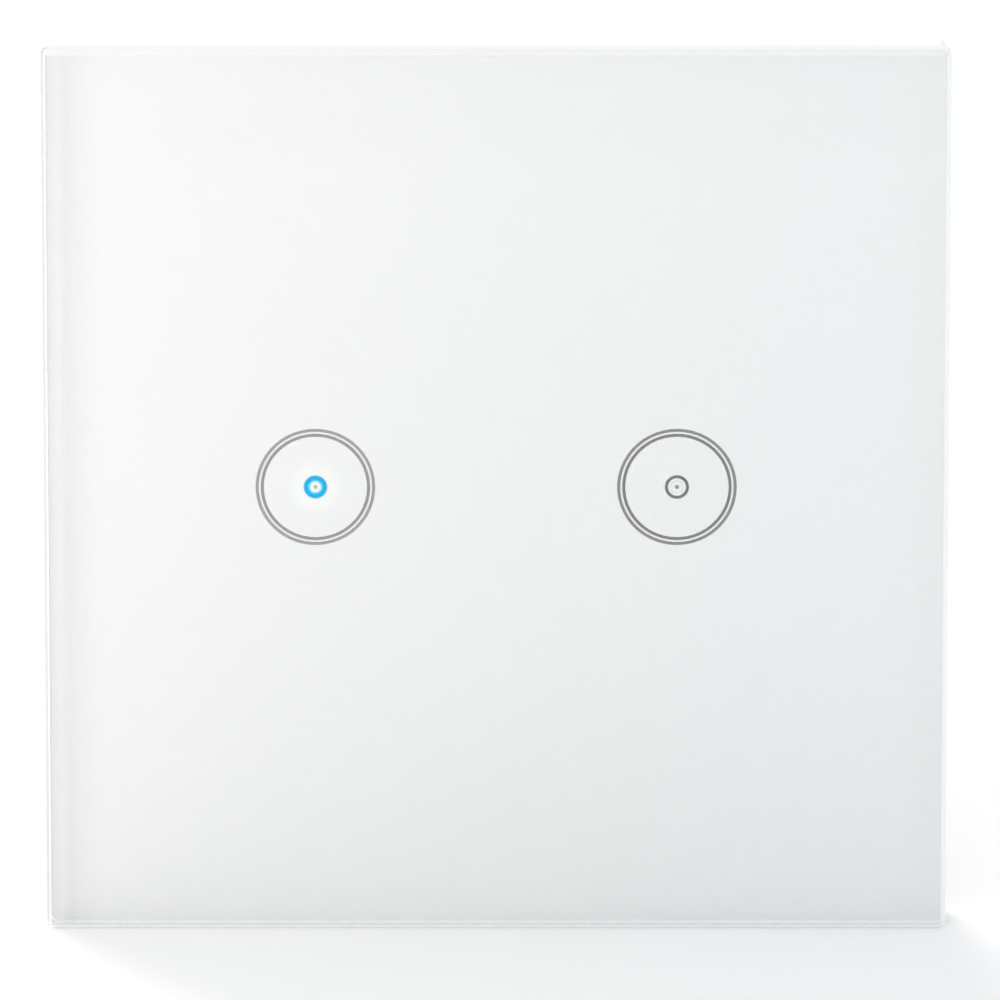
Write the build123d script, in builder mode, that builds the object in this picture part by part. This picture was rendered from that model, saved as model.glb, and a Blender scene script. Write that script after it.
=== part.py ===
"""Two-gang touch light switch: glass panel, clip-on touch unit and flush-mounted relay base.

The frame is the wall it is fitted to: X to the right and Z up as seen from the room, Y into the
wall. The origin is the centre of the wall plane, so the panel has negative depths and the
housing in the wall box has positive ones. The room between the boards and what stands on them
sets the depth of the housing, and the relays and capacitors set its width.
"""

import os
from math import cos, radians, sin, sqrt

from build123d import *

# Diagonal of a square, for each millimetre of its side
square_diagonal = sqrt(2)

# Glass panel and what is printed behind it
panel_size = 86.0
glass_thickness = 2.5
glass_corner = 0.7
glass_chamfer = 0.5
print_thickness = 0.12
print_margin = 0.3
print_gap = 0.02

# Touch marks
gang_spacing = 34.4
outer_ring_radius = 5.55
inner_ring_radius = 5.07
ring_line = 0.25
window_outer_radius = 1.14
window_inner_radius = 0.62
dot_radius = 0.14

# Moulded frame behind the glass
frame_inset = 0.45
frame_corner = 0.6
tape_thickness = 0.3
tape_width = 6.0
tape_margin = 1.5
web_thickness = 1.0
web_head_gap = 0.68
skirt_thickness = 1.6
skirt_wall_gap = 0.2
well_radius = 6.0
well_wall = 0.9
well_height = 1.3
rib_thickness = 1.0
rib_flange_gap = 0.68
rib_offset_x = 9.0
rib_offset_z = 13.0
rib_rim_gap = 0.75
finger_width = 8.0
finger_thickness = 1.2
finger_spring_room = 0.5
finger_end = 0.1
barb_reach = 0.6
barb_length = 1.0
barb_clearance = 0.15
notch_width = 8.0
notch_height = 1.6
nub_drop = 7.05
nub_length = 4.5
nub_depth = 1.4
nub_reach = 0.5

# Steel mounting plate
plate_corner = 3.0
plate_thickness = 1.0
plate_rim_gap = 0.48
rim_relief = 4.0
rim_slot_clearance = 0.2
box_screw_spacing = 60.0
slot_length = 8.0
slot_width = 4.0

# Rear housing
housing_wall = 1.6
housing_floor = 1.6
housing_edge = 1.0
label_width = 26.0
label_height = 12.0
label_corner = 1.5
label_recess = 0.3
label_centre_height = 9.0
vent_length = 9.0
vent_width = 1.2
vent_pitch = 3.2
vent_count = 5
window_clearance = 0.35
flange_lap = 0.85
flange_corner = 3.0
flange_thickness = 1.2
flange_screw_inset = 2.9
post_radius = 2.4
upper_post_inset = 3.7
lower_post_gap = 0.3
board_rib_thickness = 1.2
board_rib_reach = 2.0
top_rib_offset = 8.0
side_rib_height = -9.5

# Screws
small_screw_radius = 1.25
small_head_radius = 2.1
small_head_height = 1.2
screw_clearance = 0.15
thread_clearance = 0.02
board_screw_radius = 0.95
board_screw_head_radius = 1.9
head_chamfer = 0.3
board_screw_length = 3.6
pilot_depth = 7.2

# Touch board
touch_board_clearance = 0.4
touch_board_thickness = 1.0
touch_board_sink = 1.2
boss_radius = 2.1
boss_corner_inset = 3.4
spring_radius = 4.25
spring_wire = 0.5
spring_turns = 2.5
spring_gap = 0.02
spring_tail = 0.8
spring_wall_gap = 1.0
guide_radius = 1.5
guide_pocket_radius = 1.05
guide_pocket_depth = 0.9
led_length = 1.6
led_width = 0.8
led_height = 0.6

# Plug and socket between the two boards
pin_count = 6
pin_pitch = 2.54
pin_width = 0.64
pin_clearance = 0.08
pin_point = 0.13
pin_end_gap = 0.5
pin_solder_length = 0.6
header_drop = 3.2
header_depth = 2.5
socket_gap = 0.1

# Wireless module and touch chip, both on the rear of the touch board
module_width = 16.0
module_height = 16.0
module_thickness = 0.8
module_centre_height = 7.0
shield_width = 13.0
shield_height = 11.5
shield_depth = 2.2
shield_drop = 1.2
shield_corner = 0.55
shield_edge = 0.28
chip_width = 9.9
chip_height = 3.9
chip_depth = 1.5
chip_centre_height = -6.5
chip_lead_pitch = 1.27
chip_lead_count = 7
chip_lead_reach = 1.0
chip_lead_width = 0.42
chip_lead_thickness = 0.25

# Lid and power board
lid_gap = 1.0
lid_thickness = 1.0
lid_clearance = 0.2
lid_rim_thickness = 1.2
lid_rim_depth = 1.0
power_board_thickness = 1.6
power_board_clearance = 0.4

# Terminals, from the outer live terminal to the neutral
terminal_count = 4
terminal_pitch = 7.0
block_wall_gap = 0.2
block_floor_gap = 0.8
block_side_wall = 1.3
block_entry_wall = 1.5
block_inner_wall = 1.0
block_edge = 0.4
cavity_width = 5.4
shoulder_thickness = 1.1
head_recess = 1.4
wire_entry = 3.8
wire_floor_gap = 0.1
terminal_screw_radius = 1.5
terminal_head_radius = 2.0
terminal_head_height = 1.6
terminal_seat_gap = 0.02
driver_slot_width = 0.7
driver_slot_depth = 0.7
driver_hole_radius = 2.4
cage_width = 5.0
cage_length = 4.5
cage_depth = 8.0
cage_wall = 0.8
cage_corner = 0.4
cage_thread_wall = 1.6
cage_thread_clearance = 0.03
cage_travel = 2.5
cage_end_gap = 0.2
cage_side_gap = 0.25
bar_width = 3.0
bar_thickness = 0.8
bar_gap = 0.1
bar_thread_gap = 0.6
bar_leg_gap = 0.55
bar_leg_clearance = 0.2
bar_pin_width = 1.0
bar_pin_clearance = 0.1
bar_pin_length = 0.6

# Relays
relay_wall_gap = 1.1
relay_corner_gap = 0.38
relay_floor_gap = 0.6
relay_centre_height = 5.2
relay_width = 10.2
relay_length = 20.0
relay_height = 15.0
relay_wall = 0.8
relay_edge = 0.4
relay_cover_lift = 0.2
relay_base_thickness = 1.4
relay_base_clearance = 0.1
yoke_side_gap = 0.8
yoke_end_gap = 1.6
yoke_thickness = 1.2
yoke_foot_thickness = 1.0
yoke_foot_length = 9.0
armature_room = 3.8
coil_gap = 1.0
core_radius = 1.5
pole_radius = 2.6
pole_thickness = 1.0
bobbin_side_gap = 0.4
bobbin_flange = 0.8
bobbin_wall = 0.4
bobbin_clearance = 0.05
winding_inset = 0.5
armature_inset = 0.5
armature_length = 12.0
armature_thickness = 1.0
armature_gap = 0.03
armature_open_angle = 3.5
leaf_start = 2.0
leaf_width = 3.2
leaf_thickness = 0.25
contact_radius = 1.1
contact_reach = 0.45
contact_end_gap = 1.2
contact_gap = 0.05
fixed_contact_height = 0.6
fixed_blade_width = 3.6
fixed_blade_thickness = 0.6

# Other parts on the power board
core_width = 12.0
core_depth = 10.5
core_thickness = 5.0
core_outer_leg = 1.5
core_centre_leg = 3.3
core_yoke = 1.4
core_relay_gap = 1.4
core_centre_z = 8.5
winding_length = 9.5
winding_clearance = 0.1
winding_corner = 1.4
bobbin_base_thickness = 1.2
capacitor_radius = 4.0
capacitor_length = 11.0
capacitor_groove = 0.35
capacitor_groove_lift = 1.4
capacitor_core_gap = 0.9
capacitor_relay_gap = 0.5
capacitor_post_gap = 1.1
capacitor_spacing = 9.0
box_capacitor_length = 10.0
box_capacitor_width = 4.0
box_capacitor_height = 9.0
box_capacitor_x = -5.2
box_capacitor_z = -1.2
varistor_radius = 3.5
varistor_thickness = 3.4
varistor_lift = 1.0
varistor_edge = 0.55
varistor_x = 5.5
varistor_z = -4.6
varistor_lead_spacing = 5.0
lead_radius = 0.3
fuse_radius = 1.6
fuse_length = 9.0
fuse_lift = 0.5
fuse_lead_spacing = 11.6
fuse_x = -5.5
fuse_z = -6.0
rectifier_length = 4.7
rectifier_width = 3.9
rectifier_height = 2.5
rectifier_x = 13.5
rectifier_z = -9.0
rectifier_lead_spacing = 2.5

# Depths in front of the wall, outwards from the mounting plate
flange_rear = -plate_thickness
flange_front = flange_rear - flange_thickness
web_rear = flange_front - small_head_height - web_head_gap
web_front = web_rear - web_thickness
print_rear = web_front - tape_thickness
glass_rear = print_rear - print_thickness
skirt_rear = -skirt_wall_gap
rim_front = web_rear + plate_rim_gap
barb_depth = -plate_thickness - barb_length
rib_rear = flange_front - rib_flange_gap

# Depths of the boards and of what lies between them
touch_board_front = flange_front + touch_board_sink
touch_board_rear = touch_board_front + touch_board_thickness
module_rear = touch_board_rear + module_thickness
lid_front = module_rear + shield_depth + lid_gap
power_board_front = lid_front + lid_thickness + lid_rim_depth
power_board_rear = power_board_front + power_board_thickness
socket_front = touch_board_rear + header_depth + socket_gap
pin_tip_depth = power_board_front - pin_end_gap
relay_cover_front = power_board_rear + relay_cover_lift
relay_cover_rear = relay_cover_front + relay_height
cavity_floor = relay_cover_rear + relay_floor_gap
housing_depth = cavity_floor + housing_floor

# Widths of the housing, round the parts that stand between the relays
bay_width = core_relay_gap + core_width + capacitor_core_gap + 2 * capacitor_radius + capacitor_relay_gap
relay_offset = (bay_width + relay_width) / 2
relay_outer_edge = relay_offset + relay_width / 2
relay_top = relay_centre_height + relay_length / 2
spring_reach = gang_spacing / 2 + spring_radius + spring_wire / 2
inner_half = max(relay_outer_edge + relay_wall_gap, spring_reach + spring_wall_gap)
housing_size = 2 * (inner_half + housing_wall)
relay_corner = (relay_outer_edge + relay_top) * square_diagonal / 2
housing_corners = 2 * (relay_corner + relay_corner_gap + housing_wall)
flange_size = housing_size + 2 * (window_clearance + flange_lap)
flange_screw_spacing = flange_size - 2 * flange_screw_inset
touch_board_size = housing_size - 2 * (housing_wall + touch_board_clearance)
touch_board_corners = housing_corners - 2 * (housing_wall + touch_board_clearance)
boss_spacing = (touch_board_corners - 2 * boss_corner_inset) / square_diagonal

# Widths of the frame and of the plate inside it
frame_size = panel_size - 2 * frame_inset
tape_size = frame_size - 2 * tape_margin
skirt_inner = frame_size - 2 * skirt_thickness
finger_outer = skirt_inner / 2 - finger_spring_room
finger_inner = finger_outer - finger_thickness
barb_tip = finger_inner - barb_reach
plate_size = 2 * (barb_tip - barb_clearance)
rib_span = plate_size - 2 * (plate_thickness + rib_rim_gap)
nub_height = frame_size / 2 - nub_drop

# Terminal block, from the wall of the housing inwards and from its floor forwards
block_bottom = block_wall_gap - inner_half
cavity_bottom = block_bottom + block_entry_wall
terminal_height = cavity_bottom + cage_side_gap + cage_length / 2
bar_leg_bottom = terminal_height + cage_length / 2 + bar_leg_gap
bar_leg_top = bar_leg_bottom + bar_thickness
cavity_top = bar_leg_top + bar_leg_clearance
block_top = cavity_top + block_inner_wall
block_rear = cavity_floor - block_floor_gap
block_width = terminal_pitch * (terminal_count - 1) + cavity_width + 2 * block_side_wall
shoulder_rear = block_rear - head_recess
shoulder_front = shoulder_rear - shoulder_thickness
cage_rear = shoulder_front - cage_travel - cage_end_gap
cage_front = cage_rear - cage_depth
bar_rear = cage_rear - cage_thread_wall - bar_thread_gap
bar_front = bar_rear - bar_thickness
terminal_screw_tip = bar_rear + bar_gap
terminal_head_front = shoulder_rear + terminal_seat_gap
terminal_head_rear = terminal_head_front + terminal_head_height
wire_depth = cage_front + cage_wall + wire_floor_gap + wire_entry / 2
header_height = (bar_leg_bottom + bar_leg_top) / 2 - header_drop

# Places that repeat
gang_centres = [(-gang_spacing / 2, 0), (gang_spacing / 2, 0)]
gangs = {"left": -1, "right": 1}
terminal_columns = [
    terminal_pitch * (number - (terminal_count - 1) / 2) for number in range(terminal_count)
]
terminal_places = [(x, terminal_height) for x in terminal_columns]
wire_places = [(x, wire_depth) for x in terminal_columns]
upper_post = inner_half - upper_post_inset
lower_post = block_top + lower_post_gap + post_radius
post_places = [(0, upper_post), (0, lower_post)]
rib_lines_x = [(-rib_offset_x, 0), (rib_offset_x, 0)]
rib_lines_z = [(0, -rib_offset_z), (0, rib_offset_z)]


def at_depth(depth):
    """Sketch plane parallel to the wall, seen from the room, at this depth."""
    return Plane.XZ.offset(-depth)


def cut_corner_square(across_flats, across_corners):
    """Square with cut corners, the outline that goes into a round wall box."""
    Rectangle(across_flats, across_flats)
    Rectangle(across_corners, across_corners, rotation=45, mode=Mode.INTERSECT)


def write(piece, label):
    """Names the finished piece and writes it."""
    piece.part.label = label
    export_step(piece.part, f"parts/{label}.step")


os.makedirs("parts", exist_ok=True)

# Glass panel, with polished edges
with BuildPart() as glass_panel:
    with BuildSketch(at_depth(glass_rear)):
        RectangleRounded(panel_size, panel_size, glass_corner)
    extrude(amount=glass_thickness)
    chamfer(glass_panel.faces().sort_by(Axis.Y)[0].edges(), glass_chamfer)
write(glass_panel, "glass_panel")

# White print on the rear of the glass, left open at the marks
with BuildPart() as panel_print:
    with BuildSketch(at_depth(print_rear)):
        RectangleRounded(panel_size - 2 * print_margin, panel_size - 2 * print_margin, glass_corner)
        with Locations(*gang_centres):
            for radius in (outer_ring_radius, inner_ring_radius):
                Circle(radius + ring_line / 2 + print_gap, mode=Mode.SUBTRACT)
                Circle(radius - ring_line / 2 - print_gap)
            Circle(window_outer_radius + print_gap, mode=Mode.SUBTRACT)
            Circle(window_inner_radius - print_gap)
            Circle(dot_radius + print_gap, mode=Mode.SUBTRACT)
    extrude(amount=print_thickness)
write(panel_print, "panel_print")

# Grey rings and dots that show where to touch
with BuildPart() as touch_ring_marks:
    with BuildSketch(at_depth(print_rear)):
        with Locations(*gang_centres):
            for radius in (outer_ring_radius, inner_ring_radius):
                Circle(radius + ring_line / 2)
                Circle(radius - ring_line / 2, mode=Mode.SUBTRACT)
            Circle(dot_radius)
    extrude(amount=print_thickness)
write(touch_ring_marks, "touch_ring_marks")

# Translucent window of each indicator
for side, direction in gangs.items():
    with BuildPart() as light_window:
        with BuildSketch(at_depth(print_rear)):
            with Locations((direction * gang_spacing / 2, 0)):
                Circle(window_outer_radius)
                Circle(window_inner_radius, mode=Mode.SUBTRACT)
        extrude(amount=print_thickness)
    write(light_window, f"light_window_{side}")

# Double-sided tape round the edge of the glass
with BuildPart() as adhesive_frame:
    with BuildSketch(at_depth(web_front)):
        Rectangle(tape_size, tape_size)
        Rectangle(tape_size - 2 * tape_width, tape_size - 2 * tape_width, mode=Mode.SUBTRACT)
    extrude(amount=tape_thickness)
write(adhesive_frame, "adhesive_frame")

# Moulded frame: web behind the glass, skirt to the wall, wells, bosses, ribs and snap fingers
with BuildPart() as panel_frame:
    with BuildSketch(at_depth(web_rear)):
        RectangleRounded(frame_size, frame_size, frame_corner)
    extrude(amount=web_thickness)
    with BuildSketch(at_depth(skirt_rear)):
        RectangleRounded(frame_size, frame_size, frame_corner)
        Rectangle(skirt_inner, skirt_inner, mode=Mode.SUBTRACT)
    extrude(amount=skirt_rear - web_rear)
    with BuildSketch(at_depth(rib_rear)):
        with Locations(*rib_lines_z):
            Rectangle(rib_span, rib_thickness)
        with Locations(*rib_lines_x):
            Rectangle(rib_thickness, rib_span)
    extrude(amount=rib_rear - web_rear)
    with BuildSketch(at_depth(web_rear + well_height)):
        with Locations(*gang_centres):
            Circle(well_radius + well_wall)
    extrude(amount=well_height)
    with BuildSketch(at_depth(web_rear + well_height)):
        with Locations(*gang_centres):
            Circle(well_radius)
    extrude(amount=well_height + web_thickness, mode=Mode.SUBTRACT)
    with BuildSketch(at_depth(touch_board_front)):
        with GridLocations(boss_spacing, boss_spacing, 2, 2):
            Circle(boss_radius)
    extrude(amount=touch_board_front - web_rear)
    with BuildSketch(at_depth(touch_board_front)):
        with GridLocations(boss_spacing, boss_spacing, 2, 2):
            Circle(board_screw_radius + thread_clearance)
    extrude(amount=board_screw_length, mode=Mode.SUBTRACT)
    for turn in range(4):
        with BuildSketch(Plane.XY.rotated((0, 90 * turn, 0))):
            with BuildLine():
                Polyline(
                    (finger_outer, web_rear),
                    (finger_inner, web_rear),
                    (finger_inner, barb_depth - barb_length / 2),
                    (barb_tip, barb_depth),
                    (barb_tip, barb_depth + barb_length / 2),
                    (finger_inner, barb_depth + barb_length + finger_end),
                    (finger_outer, barb_depth + barb_length + finger_end),
                    close=True,
                )
            make_face()
        extrude(amount=finger_width / 2, both=True)
    with BuildSketch(at_depth(skirt_rear)):
        with Locations((0, -frame_size / 2)):
            Rectangle(notch_width, 2 * skirt_thickness + frame_inset)
    extrude(amount=notch_height, mode=Mode.SUBTRACT)
    with BuildSketch(Plane.YZ.offset(frame_size / 2)):
        with Locations((web_rear, nub_height)):
            SlotOverall(nub_length, nub_depth, rotation=90)
    extrude(amount=nub_reach)
write(panel_frame, "panel_frame")

# Line of each touch spring: a coil from the touch board forward to the print
spring_start = touch_board_front - spring_wire / 2 - spring_gap
spring_end = print_rear + spring_wire / 2 + spring_gap
spring_height = spring_start - spring_end
spring_coils = {}
for side, direction in gangs.items():
    with BuildLine() as coil:
        Helix(
            pitch=spring_height / spring_turns,
            height=spring_height,
            radius=spring_radius,
            center=(direction * gang_spacing / 2, spring_start, 0),
            direction=(0, -1, 0),
        )
    spring_coils[side] = coil.line
spring_leg_places = [((line @ 0).X, (line @ 0).Z) for line in spring_coils.values()]

# Touch board, screwed to the bosses of the frame
with BuildPart() as touch_board:
    with BuildSketch(at_depth(touch_board_rear)):
        cut_corner_square(touch_board_size, touch_board_corners)
        with GridLocations(boss_spacing, boss_spacing, 2, 2):
            Circle(board_screw_radius + screw_clearance, mode=Mode.SUBTRACT)
        with Locations(*spring_leg_places):
            Circle(spring_wire / 2 + pin_clearance, mode=Mode.SUBTRACT)
        with Locations((0, header_height)):
            with GridLocations(pin_pitch, 0, pin_count, 1):
                Rectangle(pin_width + 2 * pin_clearance, pin_width + 2 * pin_clearance, mode=Mode.SUBTRACT)
    extrude(amount=touch_board_thickness)
write(touch_board, "touch_board")

with BuildPart() as touch_board_screws:
    with BuildSketch(at_depth(touch_board_rear)):
        with GridLocations(boss_spacing, boss_spacing, 2, 2):
            Circle(board_screw_radius)
    extrude(amount=board_screw_length)
    with BuildSketch(at_depth(touch_board_rear)):
        with GridLocations(boss_spacing, boss_spacing, 2, 2):
            Circle(board_screw_head_radius)
    extrude(amount=-small_head_height)
    chamfer(touch_board_screws.faces().sort_by(Axis.Y)[-4:].edges(), head_chamfer)
write(touch_board_screws, "touch_board_screws")

# Touch spring of each gang: the coil, and a leg from its first turn through the board
for (side, coil_line), leg_place in zip(spring_coils.items(), spring_leg_places):
    with BuildPart() as touch_spring:
        with BuildSketch(Plane(coil_line @ 0, z_dir=coil_line % 0)):
            Circle(spring_wire / 2)
        sweep(path=coil_line, is_frenet=True)
        with BuildSketch(at_depth(touch_board_rear + spring_tail)):
            with Locations(leg_place):
                Circle(spring_wire / 2)
        extrude(amount=touch_board_rear + spring_tail - spring_start)
    write(touch_spring, f"touch_spring_{side}")

# Indicator of each gang: lamp on the board and the clear guide that stands over it
for side, direction in gangs.items():
    gang_x = direction * gang_spacing / 2
    with BuildPart() as indicator_led:
        with BuildSketch(at_depth(touch_board_front)):
            with Locations((gang_x, 0)):
                Rectangle(led_length, led_width)
        extrude(amount=led_height)
    write(indicator_led, f"indicator_led_{side}")

    with BuildPart() as light_guide:
        with BuildSketch(at_depth(touch_board_front)):
            with Locations((gang_x, 0)):
                Circle(guide_radius)
        extrude(amount=touch_board_front - print_rear - spring_gap)
        with BuildSketch(at_depth(touch_board_front)):
            with Locations((gang_x, 0)):
                Circle(guide_pocket_radius)
        extrude(amount=guide_pocket_depth, mode=Mode.SUBTRACT)
    write(light_guide, f"light_guide_{side}")

# Plug between the boards
with BuildPart() as plug_header_strip:
    with BuildSketch(at_depth(touch_board_rear + header_depth)):
        with Locations((0, header_height)):
            Rectangle(pin_count * pin_pitch, pin_pitch)
            with GridLocations(pin_pitch, 0, pin_count, 1):
                Rectangle(pin_width, pin_width, mode=Mode.SUBTRACT)
    extrude(amount=header_depth)
write(plug_header_strip, "plug_header_strip")

with BuildPart() as plug_header_pins:
    with BuildSketch(at_depth(pin_tip_depth)):
        with Locations((0, header_height)):
            with GridLocations(pin_pitch, 0, pin_count, 1):
                Rectangle(pin_width, pin_width)
    extrude(amount=pin_tip_depth - touch_board_front + pin_solder_length)
    chamfer(plug_header_pins.faces().sort_by(Axis.Y)[-pin_count:].edges(), pin_point)
write(plug_header_pins, "plug_header_pins")

# Wireless module on the rear of the touch board
with BuildPart() as wifi_module_board:
    with BuildSketch(at_depth(module_rear)):
        with Locations((0, module_centre_height)):
            Rectangle(module_width, module_height)
    extrude(amount=module_thickness)
write(wifi_module_board, "wifi_module_board")

with BuildPart() as wifi_module_shield:
    with BuildSketch(at_depth(module_rear + shield_depth)):
        with Locations((0, module_centre_height - shield_drop)):
            RectangleRounded(shield_width, shield_height, shield_corner)
    extrude(amount=shield_depth)
    fillet(wifi_module_shield.faces().sort_by(Axis.Y)[-1].edges(), shield_edge)
write(wifi_module_shield, "wifi_module_shield")

# Touch chip with its two rows of leads
with BuildPart() as touch_controller_chip:
    with BuildSketch(at_depth(touch_board_rear + chip_depth)):
        with Locations((0, chip_centre_height)):
            Rectangle(chip_width, chip_height)
    extrude(amount=chip_depth)
    with BuildSketch(at_depth(touch_board_rear + chip_lead_thickness)):
        with Locations((0, chip_centre_height)):
            with GridLocations(chip_lead_pitch, 0, chip_lead_count, 1):
                Rectangle(chip_lead_width, chip_height + 2 * chip_lead_reach)
    extrude(amount=chip_lead_thickness)
write(touch_controller_chip, "touch_controller_chip")

# Steel plate that is screwed to the wall box, with a turned-up rim for the snap fingers
with BuildPart() as mounting_plate:
    with BuildSketch(at_depth(0)):
        RectangleRounded(plate_size, plate_size, plate_corner)
    extrude(amount=plate_thickness)
    with BuildSketch(at_depth(-plate_thickness)):
        Rectangle(plate_size, plate_size)
        Rectangle(plate_size - 2 * plate_thickness, plate_size - 2 * plate_thickness, mode=Mode.SUBTRACT)
        with GridLocations(plate_size, plate_size, 2, 2):
            Rectangle(2 * rim_relief, 2 * rim_relief, mode=Mode.SUBTRACT)
    extrude(amount=-plate_thickness - rim_front)
    with BuildSketch(at_depth(0)):
        cut_corner_square(housing_size + 2 * window_clearance, housing_corners + 2 * window_clearance)
    extrude(amount=plate_thickness, mode=Mode.SUBTRACT)
    with BuildSketch(at_depth(0)):
        with Locations((-box_screw_spacing / 2, 0), (box_screw_spacing / 2, 0)):
            SlotOverall(slot_length, slot_width)
        with Locations((0, -box_screw_spacing / 2), (0, box_screw_spacing / 2)):
            SlotOverall(slot_length, slot_width, rotation=90)
        with GridLocations(flange_screw_spacing, flange_screw_spacing, 2, 2):
            Circle(small_screw_radius + thread_clearance)
    extrude(amount=plate_thickness, mode=Mode.SUBTRACT)
    with BuildSketch(at_depth(barb_depth + barb_length / 2 + rim_slot_clearance)):
        Rectangle(2 * barb_tip, finger_width + 2 * rim_slot_clearance)
        Rectangle(finger_width + 2 * rim_slot_clearance, 2 * barb_tip)
        Rectangle(rib_span, rib_span, mode=Mode.SUBTRACT)
    extrude(amount=barb_length + 2 * rim_slot_clearance, mode=Mode.SUBTRACT)
write(mounting_plate, "mounting_plate")

# Rear housing: flange in front of the plate and a cup in the wall box
with BuildPart() as rear_housing:
    with BuildSketch(at_depth(housing_depth)):
        cut_corner_square(housing_size, housing_corners)
    extrude(amount=housing_depth - flange_rear)
    chamfer(rear_housing.faces().sort_by(Axis.Y)[-1].edges(), housing_edge)
    with BuildSketch(at_depth(flange_rear)):
        RectangleRounded(flange_size, flange_size, flange_corner)
        with GridLocations(flange_screw_spacing, flange_screw_spacing, 2, 2):
            Circle(small_screw_radius + screw_clearance, mode=Mode.SUBTRACT)
    extrude(amount=flange_thickness)
    with BuildSketch(at_depth(cavity_floor)):
        cut_corner_square(housing_size - 2 * housing_wall, housing_corners - 2 * housing_wall)
    extrude(amount=cavity_floor - flange_front, mode=Mode.SUBTRACT)
    with BuildSketch(at_depth(cavity_floor)):
        with Locations(*post_places):
            Circle(post_radius)
        with Locations((-top_rib_offset, housing_size / 2), (top_rib_offset, housing_size / 2)):
            Rectangle(board_rib_thickness, 2 * (housing_wall + board_rib_reach))
        with Locations((-housing_size / 2, side_rib_height), (housing_size / 2, side_rib_height)):
            Rectangle(2 * (housing_wall + board_rib_reach), board_rib_thickness)
        Rectangle(housing_size - housing_wall, housing_size - housing_wall, mode=Mode.INTERSECT)
    extrude(amount=cavity_floor - power_board_rear)
    with BuildSketch(at_depth(power_board_rear)):
        with Locations(*post_places):
            Circle(board_screw_radius + thread_clearance)
    extrude(amount=-pilot_depth, mode=Mode.SUBTRACT)
    with BuildSketch(at_depth(housing_depth)):
        with Locations(*terminal_places):
            Circle(driver_hole_radius)
    extrude(amount=housing_floor, mode=Mode.SUBTRACT)
    with BuildSketch(at_depth(housing_depth)):
        with Locations((0, label_centre_height)):
            RectangleRounded(label_width, label_height, label_corner)
    extrude(amount=label_recess, mode=Mode.SUBTRACT)
    with BuildSketch(Plane.XY.offset(-housing_size / 2)):
        with Locations(*wire_places):
            Rectangle(wire_entry, wire_entry)
    extrude(amount=housing_wall, mode=Mode.SUBTRACT)
    for side in gangs.values():
        with BuildSketch(Plane.YZ.offset(side * housing_size / 2)):
            with Locations(((relay_cover_front + relay_cover_rear) / 2, relay_centre_height)):
                with GridLocations(0, vent_pitch, 1, vent_count):
                    SlotOverall(vent_length, vent_width)
        extrude(amount=-side * housing_wall, mode=Mode.SUBTRACT)
write(rear_housing, "rear_housing")

with BuildPart() as housing_screws:
    with BuildSketch(at_depth(-screw_clearance)):
        with GridLocations(flange_screw_spacing, flange_screw_spacing, 2, 2):
            Circle(small_screw_radius)
    extrude(amount=-screw_clearance - flange_front)
    with BuildSketch(at_depth(flange_front)):
        with GridLocations(flange_screw_spacing, flange_screw_spacing, 2, 2):
            Circle(small_head_radius)
    extrude(amount=small_head_height)
    chamfer(housing_screws.faces().sort_by(Axis.Y)[:4].edges(), head_chamfer)
write(housing_screws, "housing_screws")

# Lid over the power board, open at the socket
lid_size = housing_size - 2 * housing_wall - 2 * lid_clearance
lid_corners = housing_corners - 2 * housing_wall - 2 * lid_clearance
socket_length = pin_count * pin_pitch + pin_width
with BuildPart() as housing_lid:
    with BuildSketch(at_depth(power_board_front)):
        cut_corner_square(lid_size, lid_corners)
    extrude(amount=power_board_front - lid_front)
    with BuildSketch(at_depth(power_board_front)):
        cut_corner_square(lid_size - 2 * lid_rim_thickness, lid_corners - 2 * lid_rim_thickness)
    extrude(amount=lid_rim_depth, mode=Mode.SUBTRACT)
    with BuildSketch(at_depth(lid_front + lid_thickness)):
        with Locations((0, header_height)):
            Rectangle(socket_length + 2 * lid_clearance, pin_pitch + 2 * lid_clearance)
        with Locations(*post_places):
            Circle(board_screw_radius + screw_clearance)
    extrude(amount=lid_thickness, mode=Mode.SUBTRACT)
write(housing_lid, "housing_lid")

with BuildPart() as lid_screws:
    with BuildSketch(at_depth(power_board_rear + board_screw_length)):
        with Locations(*post_places):
            Circle(board_screw_radius)
    extrude(amount=power_board_rear + board_screw_length - lid_front)
    with BuildSketch(at_depth(lid_front)):
        with Locations(*post_places):
            Circle(board_screw_head_radius)
    extrude(amount=small_head_height)
    chamfer(lid_screws.faces().sort_by(Axis.Y)[:2].edges(), head_chamfer)
write(lid_screws, "lid_screws")

# Power board, on the posts and ribs of the housing
power_board_size = housing_size - 2 * housing_wall - 2 * power_board_clearance
power_board_corners = housing_corners - 2 * housing_wall - 2 * power_board_clearance
bar_pin_places = [(x, (bar_leg_bottom + bar_leg_top) / 2) for x in terminal_columns]
with BuildPart() as power_board:
    with BuildSketch(at_depth(power_board_rear)):
        cut_corner_square(power_board_size, power_board_corners)
        with Locations(*post_places):
            Circle(board_screw_radius + screw_clearance, mode=Mode.SUBTRACT)
        with Locations(*bar_pin_places):
            Rectangle(
                bar_pin_width + 2 * bar_pin_clearance,
                bar_thickness + 2 * bar_pin_clearance,
                mode=Mode.SUBTRACT,
            )
    extrude(amount=power_board_thickness)
write(power_board, "power_board")

with BuildPart() as socket_header:
    with BuildSketch(at_depth(power_board_front)):
        with Locations((0, header_height)):
            Rectangle(socket_length, pin_pitch)
    extrude(amount=power_board_front - socket_front)
    with BuildSketch(at_depth(pin_tip_depth + pin_clearance)):
        with Locations((0, header_height)):
            with GridLocations(pin_pitch, 0, pin_count, 1):
                Rectangle(pin_width + 2 * pin_clearance, pin_width + 2 * pin_clearance)
    extrude(amount=pin_tip_depth + pin_clearance - socket_front, mode=Mode.SUBTRACT)
write(socket_header, "socket_header")

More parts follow.
